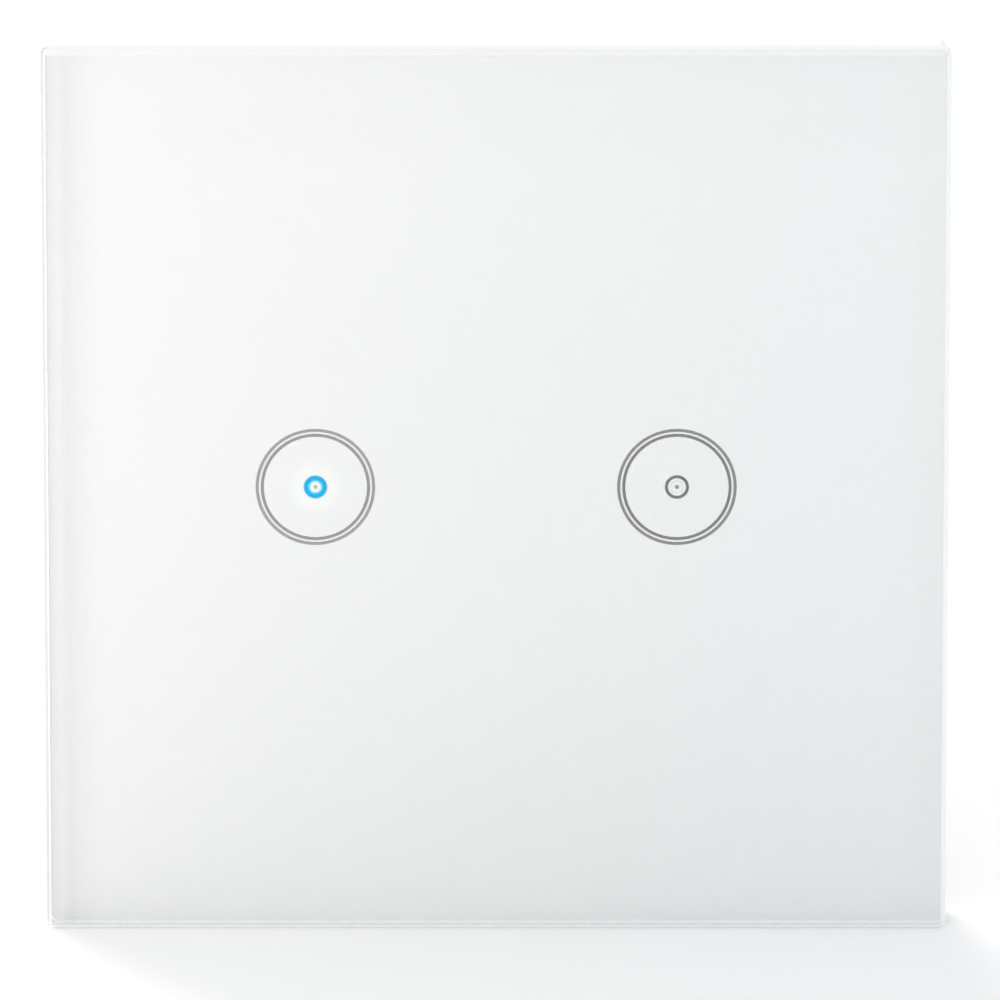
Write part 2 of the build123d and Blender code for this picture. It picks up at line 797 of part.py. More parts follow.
# Terminal block: one cavity for each cage, a shoulder under each screw head, a way in for each wire
block_middle = (block_bottom + block_top) / 2
cavity_middle = (cavity_bottom + cavity_top) / 2
with BuildPart() as terminal_block:
    with BuildSketch(at_depth(block_rear)):
        with Locations((0, block_middle)):
            Rectangle(block_width, block_top - block_bottom)
    extrude(amount=block_rear - power_board_rear)
    chamfer(terminal_block.faces().sort_by(Axis.Y)[-1].edges(), block_edge)
    with BuildSketch(at_depth(shoulder_front)):
        with Locations(*[(x, cavity_middle) for x in terminal_columns]):
            Rectangle(cavity_width, cavity_top - cavity_bottom)
    extrude(amount=shoulder_front - power_board_rear, mode=Mode.SUBTRACT)
    with BuildSketch(at_depth(shoulder_rear)):
        with Locations(*terminal_places):
            Circle(terminal_screw_radius + pin_clearance)
    extrude(amount=shoulder_rear - shoulder_front, mode=Mode.SUBTRACT)
    with BuildSketch(at_depth(block_rear)):
        with Locations(*terminal_places):
            Circle(terminal_head_radius + screw_clearance)
    extrude(amount=block_rear - shoulder_rear, mode=Mode.SUBTRACT)
    with BuildSketch(Plane.XY.offset(block_bottom)):
        with Locations(*wire_places):
            Rectangle(wire_entry, wire_entry)
    extrude(amount=cavity_bottom - block_bottom, mode=Mode.SUBTRACT)
write(terminal_block, "terminal_block")

# Contact bar of each terminal: across the cage, down to the board and through it
with BuildPart() as contact_bars:
    for bar_x in terminal_columns:
        with BuildSketch(Plane.YZ.offset(bar_x)):
            with BuildLine():
                Polyline(
                    (bar_front, cavity_bottom + bar_gap),
                    (bar_rear, cavity_bottom + bar_gap),
                    (bar_rear, bar_leg_top),
                    (power_board_rear, bar_leg_top),
                    (power_board_rear, bar_leg_bottom),
                    (bar_front, bar_leg_bottom),
                    close=True,
                )
            make_face()
        extrude(amount=bar_width / 2, both=True)
    with BuildSketch(at_depth(power_board_rear)):
        with Locations(*bar_pin_places):
            Rectangle(bar_pin_width, bar_thickness)
    extrude(amount=power_board_thickness + bar_pin_length)
write(contact_bars, "contact_bars")

# Screw and rising cage of each terminal
for number, place in enumerate(terminal_places, start=1):
    with BuildPart() as terminal_screw:
        with BuildSketch(at_depth(terminal_head_rear)):
            with Locations(place):
                Circle(terminal_head_radius)
        extrude(amount=terminal_head_height)
        with BuildSketch(at_depth(terminal_head_front)):
            with Locations(place):
                Circle(terminal_screw_radius)
        extrude(amount=terminal_head_front - terminal_screw_tip)
        with BuildSketch(at_depth(terminal_head_rear)):
            with Locations(place):
                Rectangle(2 * terminal_head_radius, driver_slot_width)
        extrude(amount=driver_slot_depth, mode=Mode.SUBTRACT)
    write(terminal_screw, f"terminal_screw_{number}")

    with BuildPart() as terminal_cage:
        with BuildSketch(at_depth(cage_rear)):
            with Locations(place):
                Rectangle(cage_width, cage_length)
        extrude(amount=cage_rear - cage_front)
        fillet(terminal_cage.edges().filter_by(Axis.Z), cage_corner)
        with BuildSketch(at_depth(cage_rear - cage_thread_wall)):
            with Locations(place):
                Rectangle(cage_width - 2 * cage_wall, 2 * cage_length)
        extrude(amount=cage_rear - cage_thread_wall - cage_front - cage_wall, mode=Mode.SUBTRACT)
        with BuildSketch(at_depth(cage_rear)):
            with Locations(place):
                Circle(terminal_screw_radius + cage_thread_clearance)
        extrude(amount=cage_thread_wall, mode=Mode.SUBTRACT)
    write(terminal_cage, f"terminal_cage_{number}")

# Relay of each gang
relay_inner_width = relay_width - 2 * relay_wall
relay_inner_length = relay_length - 2 * relay_wall
relay_base_rear = power_board_rear + relay_base_thickness
yoke_foot_rear = relay_base_rear + yoke_foot_thickness
pole_plane = relay_cover_rear - armature_room
bobbin_rear = pole_plane - pole_thickness
bobbin_radius = relay_inner_width / 2 - bobbin_side_gap
yoke_width = relay_inner_width - 2 * yoke_side_gap
contact_distance = relay_inner_length - yoke_end_gap - contact_end_gap
for side, direction in gangs.items():
    relay_x = direction * relay_offset
    yoke_z = relay_centre_height - relay_inner_length / 2 + yoke_end_gap
    coil_z = yoke_z + yoke_thickness + coil_gap + bobbin_radius
    contact_z = yoke_z + contact_distance

    with BuildPart() as relay_base:
        with BuildSketch(at_depth(relay_base_rear)):
            with Locations((relay_x, relay_centre_height)):
                Rectangle(
                    relay_inner_width - 2 * relay_base_clearance,
                    relay_inner_length - 2 * relay_base_clearance,
                )
        extrude(amount=relay_base_thickness)
    write(relay_base, f"relay_{side}_base")

    with BuildPart() as relay_cover:
        with BuildSketch(at_depth(relay_cover_rear)):
            with Locations((relay_x, relay_centre_height)):
                Rectangle(relay_width, relay_length)
        extrude(amount=relay_height)
        fillet(relay_cover.edges().filter_by(Axis.Y), relay_edge)
        chamfer(relay_cover.faces().sort_by(Axis.Y)[-1].edges(), relay_edge)
        with BuildSketch(at_depth(relay_cover_rear - relay_wall)):
            with Locations((relay_x, relay_centre_height)):
                Rectangle(relay_inner_width, relay_inner_length)
        extrude(amount=relay_height - relay_wall, mode=Mode.SUBTRACT)
    write(relay_cover, f"relay_{side}_cover")

    with BuildPart() as relay_yoke:
        with BuildSketch(at_depth(yoke_foot_rear)):
            with Locations((relay_x, yoke_z + yoke_foot_length / 2)):
                Rectangle(yoke_width, yoke_foot_length)
        extrude(amount=yoke_foot_thickness)
        with BuildSketch(at_depth(pole_plane)):
            with Locations((relay_x, yoke_z + yoke_thickness / 2)):
                Rectangle(yoke_width, yoke_thickness)
        extrude(amount=pole_plane - relay_base_rear)
        with BuildSketch(at_depth(pole_plane)):
            with Locations((relay_x, coil_z)):
                Circle(core_radius)
        extrude(amount=pole_plane - relay_base_rear)
        with BuildSketch(at_depth(pole_plane)):
            with Locations((relay_x, coil_z)):
                Circle(pole_radius)
        extrude(amount=pole_thickness)
    write(relay_yoke, f"relay_{side}_yoke")

    with BuildPart() as relay_bobbin:
        with BuildSketch(at_depth(bobbin_rear)):
            with Locations((relay_x, coil_z)):
                Circle(core_radius + bobbin_clearance + bobbin_wall)
        extrude(amount=bobbin_rear - yoke_foot_rear)
        for flange_depth in (bobbin_rear, yoke_foot_rear + bobbin_flange):
            with BuildSketch(at_depth(flange_depth)):
                with Locations((relay_x, coil_z)):
                    Circle(bobbin_radius)
            extrude(amount=bobbin_flange)
        with BuildSketch(at_depth(bobbin_rear)):
            with Locations((relay_x, coil_z)):
                Circle(core_radius + bobbin_clearance)
        extrude(amount=bobbin_rear - yoke_foot_rear, mode=Mode.SUBTRACT)
    write(relay_bobbin, f"relay_{side}_bobbin")

    with BuildPart() as relay_winding:
        with BuildSketch(at_depth(bobbin_rear - bobbin_flange)):
            with Locations((relay_x, coil_z)):
                Circle(bobbin_radius - winding_inset)
                Circle(core_radius + 2 * bobbin_clearance + bobbin_wall, mode=Mode.SUBTRACT)
        extrude(amount=bobbin_rear - yoke_foot_rear - 2 * bobbin_flange)
    write(relay_winding, f"relay_{side}_winding")

    fixed_contact_rear = pole_plane - contact_reach - contact_gap
    fixed_blade_rear = fixed_contact_rear - fixed_contact_height
    blade_outside = contact_z + contact_radius
    blade_inside = blade_outside - fixed_blade_thickness
    with BuildPart() as relay_fixed_contact:
        with BuildSketch(Plane.YZ.offset(relay_x)):
            with BuildLine():
                Polyline(
                    (relay_base_rear, blade_outside),
                    (fixed_blade_rear, blade_outside),
                    (fixed_blade_rear, contact_z - contact_radius),
                    (fixed_blade_rear - fixed_blade_thickness, contact_z - contact_radius),
                    (fixed_blade_rear - fixed_blade_thickness, blade_inside),
                    (relay_base_rear, blade_inside),
                    close=True,
                )
            make_face()
        extrude(amount=fixed_blade_width / 2, both=True)
        with BuildSketch(at_depth(fixed_contact_rear)):
            with Locations((relay_x, contact_z)):
                Circle(contact_radius)
        extrude(amount=fixed_contact_height)
    write(relay_fixed_contact, f"relay_{side}_fixed_contact")

    # The armature stands open on the edge of the yoke and swings shut onto the pole
    open_side = Plane(
        (relay_x, pole_plane, yoke_z),
        x_dir=(0, sin(radians(armature_open_angle)), cos(radians(armature_open_angle))),
        z_dir=(-1, 0, 0),
    )
    open_face = Plane(open_side.origin, x_dir=open_side.x_dir, z_dir=open_side.y_dir)
    leaf_end = contact_distance + contact_radius - armature_gap
    leaf_front = armature_gap + armature_thickness
    with BuildPart() as relay_armature:
        with BuildSketch(open_side):
            with Locations((armature_length / 2, armature_gap + armature_thickness / 2)):
                Rectangle(armature_length, armature_thickness)
        extrude(amount=yoke_width / 2 - armature_inset, both=True)
        with BuildSketch(open_side):
            with Locations(((leaf_start + leaf_end) / 2, leaf_front + leaf_thickness / 2)):
                Rectangle(leaf_end - leaf_start, leaf_thickness)
        extrude(amount=leaf_width / 2, both=True)
        with BuildSketch(open_face.offset(-contact_reach)):
            with Locations((contact_distance, 0)):
                Circle(contact_radius)
        extrude(amount=contact_reach + leaf_front)
    write(relay_armature, f"relay_{side}_armature")

# Transformer: ferrite core in two windows of which the winding lies
core_front = power_board_rear + bobbin_base_thickness
core_rear = core_front + core_depth
window_width = (core_width - 2 * core_outer_leg - core_centre_leg) / 2
window_offset = (core_centre_leg + window_width) / 2
window_depth = core_depth - 2 * core_yoke
core_centre_x = core_relay_gap + (core_width - bay_width) / 2
with BuildPart() as transformer_core:
    with BuildSketch(at_depth(core_rear)):
        with Locations((core_centre_x, core_centre_z)):
            Rectangle(core_width, core_thickness)
    extrude(amount=core_depth)
    with BuildSketch(at_depth(core_rear - core_yoke)):
        for window_x in (core_centre_x - window_offset, core_centre_x + window_offset):
            with Locations((window_x, core_centre_z)):
                Rectangle(window_width, 2 * core_thickness)
    extrude(amount=window_depth, mode=Mode.SUBTRACT)
write(transformer_core, "transformer_core")

with BuildPart() as transformer_winding:
    with BuildSketch(at_depth(core_front)):
        with Locations((core_centre_x, core_centre_z)):
            Rectangle(core_width, core_width)
    extrude(amount=bobbin_base_thickness)
    with BuildSketch(at_depth(core_rear - core_yoke - winding_clearance)):
        with Locations((core_centre_x, core_centre_z)):
            RectangleRounded(
                core_centre_leg + 2 * window_width - 2 * winding_clearance,
                winding_length,
                winding_corner,
            )
            Rectangle(
                core_centre_leg + 2 * winding_clearance,
                core_thickness + 2 * winding_clearance,
                mode=Mode.SUBTRACT,
            )
    extrude(amount=window_depth - 2 * winding_clearance)
    for end in (-1, 1):
        with BuildSketch(at_depth(core_front + core_yoke + winding_clearance)):
            with Locations((core_centre_x, core_centre_z + end * (core_thickness + winding_length) / 4)):
                Rectangle(core_centre_leg, (winding_length - core_thickness) / 2 - 2 * winding_clearance)
        extrude(amount=core_yoke + winding_clearance)
write(transformer_winding, "transformer_winding")

# Electrolytic capacitors, each with a groove above its seal
capacitor_x = bay_width / 2 - capacitor_relay_gap - capacitor_radius
upper_capacitor = upper_post - post_radius - capacitor_post_gap - capacitor_radius
with BuildPart() as bulk_capacitors:
    for capacitor_z in (upper_capacitor, upper_capacitor - capacitor_spacing):
        with BuildSketch(at_depth(power_board_rear + capacitor_length)):
            with Locations((capacitor_x, capacitor_z)):
                Circle(capacitor_radius)
        extrude(amount=capacitor_length)
        with BuildSketch(at_depth(power_board_rear + capacitor_groove_lift + capacitor_groove)):
            with Locations((capacitor_x, capacitor_z)):
                Circle(capacitor_radius)
                Circle(capacitor_radius - capacitor_groove, mode=Mode.SUBTRACT)
        extrude(amount=capacitor_groove, mode=Mode.SUBTRACT)
write(bulk_capacitors, "bulk_capacitors")

with BuildPart() as suppression_capacitor:
    with BuildSketch(at_depth(power_board_rear + box_capacitor_height)):
        with Locations((box_capacitor_x, box_capacitor_z)):
            Rectangle(box_capacitor_length, box_capacitor_width)
    extrude(amount=box_capacitor_height)
    chamfer(suppression_capacitor.faces().sort_by(Axis.Y)[-1].edges(), lead_radius)
write(suppression_capacitor, "suppression_capacitor")

# Varistor: disc on two leads
varistor_middle = power_board_rear + varistor_lift + varistor_radius
with BuildPart() as varistor:
    with BuildSketch(Plane.XY.offset(varistor_z - varistor_thickness / 2)):
        with Locations((varistor_x, varistor_middle)):
            Circle(varistor_radius)
    extrude(amount=varistor_thickness)
    chamfer(varistor.edges().filter_by(GeomType.CIRCLE), varistor_edge)
    with BuildSketch(at_depth(varistor_middle)):
        with Locations((varistor_x, varistor_z)):
            with GridLocations(varistor_lead_spacing, 0, 2, 1):
                Circle(lead_radius)
    extrude(amount=varistor_middle - power_board_rear)
write(varistor, "varistor")

# Fusible resistor: body across the board, bent leads
fuse_middle = power_board_rear + fuse_lift + fuse_radius
with BuildPart() as fuse_resistor:
    with BuildSketch(Plane.YZ.offset(fuse_x)):
        with Locations((fuse_middle, fuse_z)):
            Circle(fuse_radius)
    extrude(amount=fuse_length / 2, both=True)
    chamfer(fuse_resistor.edges().filter_by(GeomType.CIRCLE), lead_radius)
    with BuildSketch(Plane.YZ.offset(fuse_x)):
        with Locations((fuse_middle, fuse_z)):
            Circle(lead_radius)
    extrude(amount=fuse_lead_spacing / 2 + lead_radius, both=True)
    with BuildSketch(at_depth(fuse_middle)):
        with Locations((fuse_x, fuse_z)):
            with GridLocations(fuse_lead_spacing, 0, 2, 1):
                Circle(lead_radius)
    extrude(amount=fuse_middle - power_board_rear)
write(fuse_resistor, "fuse_resistor")

# Bridge rectifier with four leads
with BuildPart() as bridge_rectifier:
    with BuildSketch(at_depth(power_board_rear + rectifier_height)):
        with Locations((rectifier_x, rectifier_z)):
            Rectangle(rectifier_length, rectifier_width)
    extrude(amount=rectifier_height)
    chamfer(bridge_rectifier.faces().sort_by(Axis.Y)[-1].edges(), lead_radius)
    with BuildSketch(at_depth(power_board_rear + chip_lead_thickness)):
        with Locations((rectifier_x, rectifier_z)):
            with GridLocations(rectifier_lead_spacing, 0, 2, 1):
                Rectangle(2 * lead_radius, rectifier_width + 2 * chip_lead_reach)
    extrude(amount=chip_lead_thickness)
write(bridge_rectifier, "bridge_rectifier")
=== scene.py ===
"""Two-gang touch light switch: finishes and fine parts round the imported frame.

The frame's pieces keep their shapes and get procedural finishes. The glass is made here as a clear
sheet with bright polished edges, and what repeats, such as screws, solder joints and small board
parts, grows from geometry node trees with sizes read off the frame. Lengths are in millimetres
unless the line that describes them says metres, and a finish works on millimetres too.
"""

import logging
import math
from dataclasses import dataclass, field, replace
from enum import Enum
from functools import cache

import bpy
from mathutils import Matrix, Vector

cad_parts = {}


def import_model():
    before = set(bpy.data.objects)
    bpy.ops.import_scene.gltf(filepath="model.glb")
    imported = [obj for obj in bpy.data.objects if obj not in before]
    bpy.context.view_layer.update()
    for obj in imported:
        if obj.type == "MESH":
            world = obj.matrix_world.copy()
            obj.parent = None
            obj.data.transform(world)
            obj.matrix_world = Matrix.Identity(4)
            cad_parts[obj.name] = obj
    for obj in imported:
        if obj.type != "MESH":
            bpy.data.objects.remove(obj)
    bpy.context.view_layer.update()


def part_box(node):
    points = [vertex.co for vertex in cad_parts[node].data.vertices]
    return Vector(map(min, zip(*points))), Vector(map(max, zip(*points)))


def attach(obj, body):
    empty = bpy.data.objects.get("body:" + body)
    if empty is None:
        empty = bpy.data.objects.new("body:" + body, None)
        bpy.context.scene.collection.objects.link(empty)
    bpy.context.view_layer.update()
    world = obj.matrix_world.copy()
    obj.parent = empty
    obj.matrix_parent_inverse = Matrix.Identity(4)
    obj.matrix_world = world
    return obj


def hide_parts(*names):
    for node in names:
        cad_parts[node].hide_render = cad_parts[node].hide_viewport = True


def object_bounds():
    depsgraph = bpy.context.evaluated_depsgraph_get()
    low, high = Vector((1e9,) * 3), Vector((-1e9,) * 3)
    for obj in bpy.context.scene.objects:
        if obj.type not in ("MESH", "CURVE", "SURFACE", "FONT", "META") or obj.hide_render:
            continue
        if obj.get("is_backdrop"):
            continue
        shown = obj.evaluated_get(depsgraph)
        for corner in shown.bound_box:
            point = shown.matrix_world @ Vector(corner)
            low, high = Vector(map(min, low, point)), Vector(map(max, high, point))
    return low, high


log = logging.getLogger("light_switch")

MM = 0.001
SEED = 7
Colour = tuple[float, float, float]
Place = tuple[float, float, float]
Span = tuple[float, float]

NO_LIGHT: Colour = (0.0, 0.0, 0.0)
TINNED: Colour = (0.62, 0.62, 0.6)
TINNED_ROUGHNESS = 0.25
MIX_FIRST = 6
MIX_SECOND = 7
MIX_RESULT = 2


class Gang(Enum):
    """The two gangs of the switch, by the side that each stands on."""

    LEFT = "left"
    RIGHT = "right"


class Facing(Enum):
    """Which way a screw's head or a joint's tip points, as a turn about X."""

    ROOM = math.pi / 2
    WALL = -math.pi / 2


class Axis(Enum):
    """The three directions of the frame."""

    ACROSS = 0
    DEPTH = 1
    UP = 2


class Value:
    """A node socket that Python's operators work on.

    Args:
        tree: The tree that the socket belongs to.
        socket: The output socket that carries the value.
    """

    def __init__(self, tree: "Tree", socket: bpy.types.NodeSocket) -> None:
        """Wraps the socket."""
        self.tree = tree
        self.socket = socket

    def __add__(self, other: "Value | float") -> "Value":
        """Adds a number or another value."""
        return self.tree.maths("ADD", self, other)

    __radd__ = __add__

    def __mul__(self, other: "Value | float") -> "Value":
        """Multiplies by a number or another value."""
        return self.tree.maths("MULTIPLY", self, other)

    __rmul__ = __mul__

    def __sub__(self, other: "Value | float") -> "Value":
        """Takes away a number or another value."""
        return self.tree.maths("SUBTRACT", self, other)

    def __rsub__(self, other: "Value | float") -> "Value":
        """Is taken away from a number or another value."""
        return self.tree.maths("SUBTRACT", other, self)

    def __truediv__(self, other: "Value | float") -> "Value":
        """Divides by a number or another value."""
        return self.tree.maths("DIVIDE", self, other)

    def __rtruediv__(self, other: "Value | float") -> "Value":
        """Divides a number or another value."""
        return self.tree.maths("DIVIDE", other, self)

    def __gt__(self, other: "Value | float") -> "Value":
        """Is 1 where this value is the larger, and 0 elsewhere."""
        return self.tree.maths("GREATER_THAN", self, other)

    def __lt__(self, other: "Value | float") -> "Value":
        """Is 1 where this value is the smaller, and 0 elsewhere."""
        return self.tree.maths("LESS_THAN", self, other)


class Tree:
    """Adds nodes to one node tree, of a finish or of a shape.

    Args:
        nodes: The node tree to add to.
    """

    def __init__(self, nodes: bpy.types.NodeTree) -> None:
        """Keeps the node tree."""
        self.nodes = nodes

    def node(
        self, kind: str, settings: dict | None = None, sockets: dict | None = None
    ) -> bpy.types.Node:
        """Adds a node.

        Args:
            kind: The node's type.
            settings: Its settings, set before its sockets.
            sockets: The value or link of each socket, by name or number.

        Returns:
            The new node.
        """
        made = self.nodes.nodes.new(kind)
        for name, setting in (settings or {}).items():
            setattr(made, name, setting)
        for key, given in (sockets or {}).items():
            self.feed(made, key, given)
        return made

    def feed(self, node: bpy.types.Node, key: str | int, given: object) -> None:
        """Links a value to a node's socket, or sets the socket to a plain value.

        Args:
            node: The node that takes it.
            key: The socket's name or number.
            given: A value to link, or a plain value.
        """
        if isinstance(given, Value):
            self.nodes.links.new(given.socket, node.inputs[key])
        else:
            node.inputs[key].default_value = given

    def out(
        self,
        kind: str,
        settings: dict | None = None,
        sockets: dict | None = None,
        output: int | str = 0,
    ) -> Value:
        """Adds a node and gives one of its outputs.

        Args:
            kind: The node's type.
            settings: Its settings.
            sockets: The value or link of each socket.
            output: Name or number of the output to give.

        Returns:
            The output as a value.
        """
        return Value(self, self.node(kind, settings, sockets).outputs[output])

    def maths(self, operation: str, *values: "Value | float") -> Value:
        """Adds a Math node.

        Args:
            operation: Its operation.
            *values: Its inputs, in order.

        Returns:
            The result.
        """
        return self.out("ShaderNodeMath", {"operation": operation}, dict(enumerate(values)))

    def vector(self, x: "Value | float", y: "Value | float", z: "Value | float") -> Value:
        """Puts three numbers together as a vector."""
        return self.out("ShaderNodeCombineXYZ", None, {0: x, 1: y, 2: z})

    def rise(self, value: Value, low: float, high: float) -> Value:
        """Goes smoothly from 0 at the low end to 1 at the high end.

        Args:
            value: What is measured.
            low: Where the rise starts.
            high: Where it ends.

        Returns:
            The share of the rise.
        """
        return self.out(
            "ShaderNodeMapRange", {"interpolation_type": "SMOOTHSTEP"}, {0: value, 1: low, 2: high}
        )


class Surface(Tree):
    """The shader tree of one finish, measured in millimetres from the frame's origin.

    Args:
        name: Name of the material.
    """

    def __init__(self, name: str) -> None:
        """Makes an empty material with a principled shader."""
        self.material = bpy.data.materials.new(name)
        self.material.use_nodes = True
        super().__init__(self.material.node_tree)
        self.nodes.nodes.clear()
        self.shader = self.node("ShaderNodeBsdfPrincipled")
        self.exit = self.node("ShaderNodeOutputMaterial")
        self.end(self.shader)
        spot = self.out("ShaderNodeTexCoord", output="Object")
        scaling = {0: spot, "Scale": 1 / MM}
        self.place = self.out("ShaderNodeVectorMath", {"operation": "SCALE"}, scaling)
        parts = self.node("ShaderNodeSeparateXYZ", None, {0: self.place})
        self.x, self.y, self.z = (Value(self, socket) for socket in parts.outputs)

    def end(self, shader: bpy.types.Node) -> None:
        """Makes a shader the one that the surface shows."""
        self.nodes.links.new(shader.outputs[0], self.exit.inputs[0])

    def set(self, **sockets: object) -> None:
        """Feeds the shader's sockets, named with underscores for spaces."""
        for name, given in sockets.items():
            self.feed(self.shader, name.replace("_", " "), given)

    def noise(self, size: float, detail: float = 2.0, stretch: Place = (1, 1, 1)) -> Value:
        """Cloudy noise round 0.5.

        Args:
            size: Size of its patches.
            detail: How many finer layers it has.
            stretch: How much longer the patches are along each direction.

        Returns:
            The noise.
        """
        where = self.place
        if stretch != (1, 1, 1):
            factors = {0: where, 1: tuple(1 / length for length in stretch)}
            where = self.out("ShaderNodeVectorMath", {"operation": "MULTIPLY"}, factors)
        sockets = {"Vector": where, "Scale": 1 / size, "Detail": detail}
        return self.out("ShaderNodeTexNoise", None, sockets)

    def mix(self, share: "Value | float", first: object, second: object) -> Value:
        """Mixes two colours.

        Args:
            share: Share of the second colour.
            first: The first colour, or a value of one.
            second: The second colour, or a value of one.

        Returns:
            The mixed colour.
        """
        colours = {0: share, MIX_FIRST: opaque(first), MIX_SECOND: opaque(second)}
        return self.out("ShaderNodeMix", {"data_type": "RGBA"}, colours, MIX_RESULT)

    def bump(self, height: Value, depth: float) -> Value:
        """Bends the surface's normal by a height from 0 to 1.

        Args:
            height: The height.
            depth: How deep the relief is.

        Returns:
            The bent normal.
        """
        return self.out("ShaderNodeBump", None, {"Distance": depth * MM, "Height": height})

    def from_line(self, x: float, z: float) -> Value:
        """Distance from the line that runs into the wall at a place on the panel."""
        across = self.x - x
        up = self.z - z
        return self.maths("SQRT", across * across + up * up)

    def along(self, axis: Axis) -> Value:
        """Place along one axis."""
        return (self.x, self.y, self.z)[axis.value]

    def beside(self, axis: Axis, middle: float, half: float) -> Value:
        """Is 1 further than a half width from a middle along an axis, and 0 nearer."""
        return self.maths("ABSOLUTE", self.along(axis) - middle) > half


def opaque(colour: object) -> object:
    """Adds the fourth number to a plain colour, and leaves a linked one as it is."""
    return (*colour, 1.0) if isinstance(colour, tuple) else colour


def shade(colour: Colour, factor: float) -> Colour:
    """The colour, lighter or darker by a factor."""
    return tuple(min(1.0, part * factor) for part in colour)


@dataclass(frozen=True)
class Finish:
    """A moulded or painted surface: one colour that wanders a little, over a fine grain.

    Attributes:
        name: Name of the finish.
        colour: Its colour.
        roughness: How rough it is.
        metallic: Whether it is a metal.
        mottle: How far the colour and the roughness wander, as a share.
        patch: Size of the patches that they wander in.
        finer: How many times smaller the roughness's patches are, and how much more it wanders.
        grain: Size of the grain.
        depth: Depth of the grain.
        coat: Strength of a clear coat.
    """

    name: str
    colour: Colour
    roughness: float = 0.45
    metallic: float = 0.0
    mottle: float = 0.03
    patch: float = 9.0
    finer: float = 4.0
    grain: float = 0.16
    depth: float = 0.005
    coat: float = 0.0

    @cache
    def material(self) -> bpy.types.Material:
        """The material of this finish, made once."""
        surface = Surface(self.name)
        surface.set(Metallic=self.metallic, Coat_Weight=self.coat)
        self.dress(surface)
        return surface.material

    def dress(self, surface: Surface) -> None:
        """Feeds the shader of a new material.

        Args:
            surface: The material's tree.
        """
        self.base(surface, self.tone(surface))
        surface.set(Normal=surface.bump(surface.noise(self.grain), self.depth))

    def tone(self, surface: Surface) -> Value:
        """The colour as it wanders over the surface."""
        dark, light = shade(self.colour, 1 - self.mottle), shade(self.colour, 1 + self.mottle)
        return surface.mix(surface.noise(self.patch), dark, light)

    def base(self, surface: Surface, colour: Value) -> None:
        """Feeds the base colour, and a roughness that wanders with finer patches."""
        reach = self.finer * self.mottle * self.roughness
        wander = (surface.noise(self.patch / self.finer) - 0.5) * reach
        surface.set(Base_Color=colour, Roughness=wander + self.roughness)


@dataclass(frozen=True)
class Drawn(Finish):
    """Sheet or wire with fine marks along one direction.

    Attributes:
        stretch: How much longer the marks are along each direction.
        scuff: How far the roughness wanders with the marks.
    """

    stretch: Place = (30, 1, 1)
    scuff: float = 0.25

    def dress(self, surface: Surface) -> None:
        """Feeds the shader, with drawn marks for a grain."""
        marks = surface.noise(self.grain, 3, self.stretch)
        surface.set(
            Base_Color=self.tone(surface),
            Roughness=(marks - 0.5) * self.scuff + self.roughness,
            Normal=surface.bump(marks, self.depth),
        )


@dataclass(frozen=True)
class Spangled(Finish):
    """Zinc-plated sheet: a faint bluish and yellowish bloom over fine rolling marks.

    Attributes:
        warm: Shares of the colour's parts where the bloom is yellowish.
        cool: Shares of its parts where the bloom is bluish.
        fade: Where in the bloom's noise the one starts to turn into the other and where it ends.
        stretch: How much longer the rolling marks are along each direction.
        scuff: How far the roughness wanders with the marks.
        haze: How far the roughness wanders with the bloom.
    """

    warm: Colour = (1.02, 1.0, 0.95)
    cool: Colour = (0.96, 0.98, 1.02)
    fade: Span = (0.35, 0.65)
    stretch: Place = (1, 1, 14)
    scuff: float = 0.3
    haze: float = 0.2

    def dress(self, surface: Surface) -> None:
        """Feeds the shader with the bloom and the marks."""
        bloom = surface.noise(self.patch, 3)
        warm, cool = (
            tuple(part * share for part, share in zip(self.colour, shares))
            for shares in (self.warm, self.cool)
        )
        marks = surface.noise(self.grain, 3, self.stretch)
        surface.set(
            Base_Color=surface.mix(surface.rise(bloom, *self.fade), warm, cool),
            Roughness=(marks - 0.5) * self.scuff + (bloom - 0.5) * self.haze + self.roughness,
            Normal=surface.bump(marks, self.depth),
        )


@dataclass(frozen=True)
class BoardLacquer(Finish):
    """Solder mask over the copper tracks of a board.

    Attributes:
        track: Spacing of the tracks.
        copper: Colour where copper lies under the lacquer.
        stray: How far the tracks stray from a square net, from 0 to 1.
        track_edge: Distances from a track's middle between which it ends, as shares of the spacing.
        pour_edge: Where in the patches' noise a full copper pour starts.
        grain_share: Height of the grain, as a share of the copper's.
    """

    track: float = 2.2
    copper: Colour = (0.1, 0.4, 0.2)
    stray: float = 0.55
    track_edge: Span = (0.07, 0.11)
    pour_edge: Span = (0.52, 0.54)
    grain_share: float = 0.2

    def dress(self, surface: Surface) -> None:
        """Feeds the shader with a net of tracks, and the pours between them."""
        cells = surface.out(
            "ShaderNodeTexVoronoi",
            {"feature": "DISTANCE_TO_EDGE", "distance": "EUCLIDEAN"},
            {"Vector": surface.place, "Scale": 1 / self.track, "Randomness": self.stray},
        )
        tracks = 1 - surface.rise(cells, *self.track_edge)
        pours = surface.rise(surface.noise(self.patch), *self.pour_edge)
        plated = surface.maths("MAXIMUM", tracks, pours)
        self.base(surface, surface.mix(plated, self.colour, self.copper))
        relief = plated + surface.noise(self.grain) * self.grain_share
        surface.set(Normal=surface.bump(relief, self.depth))


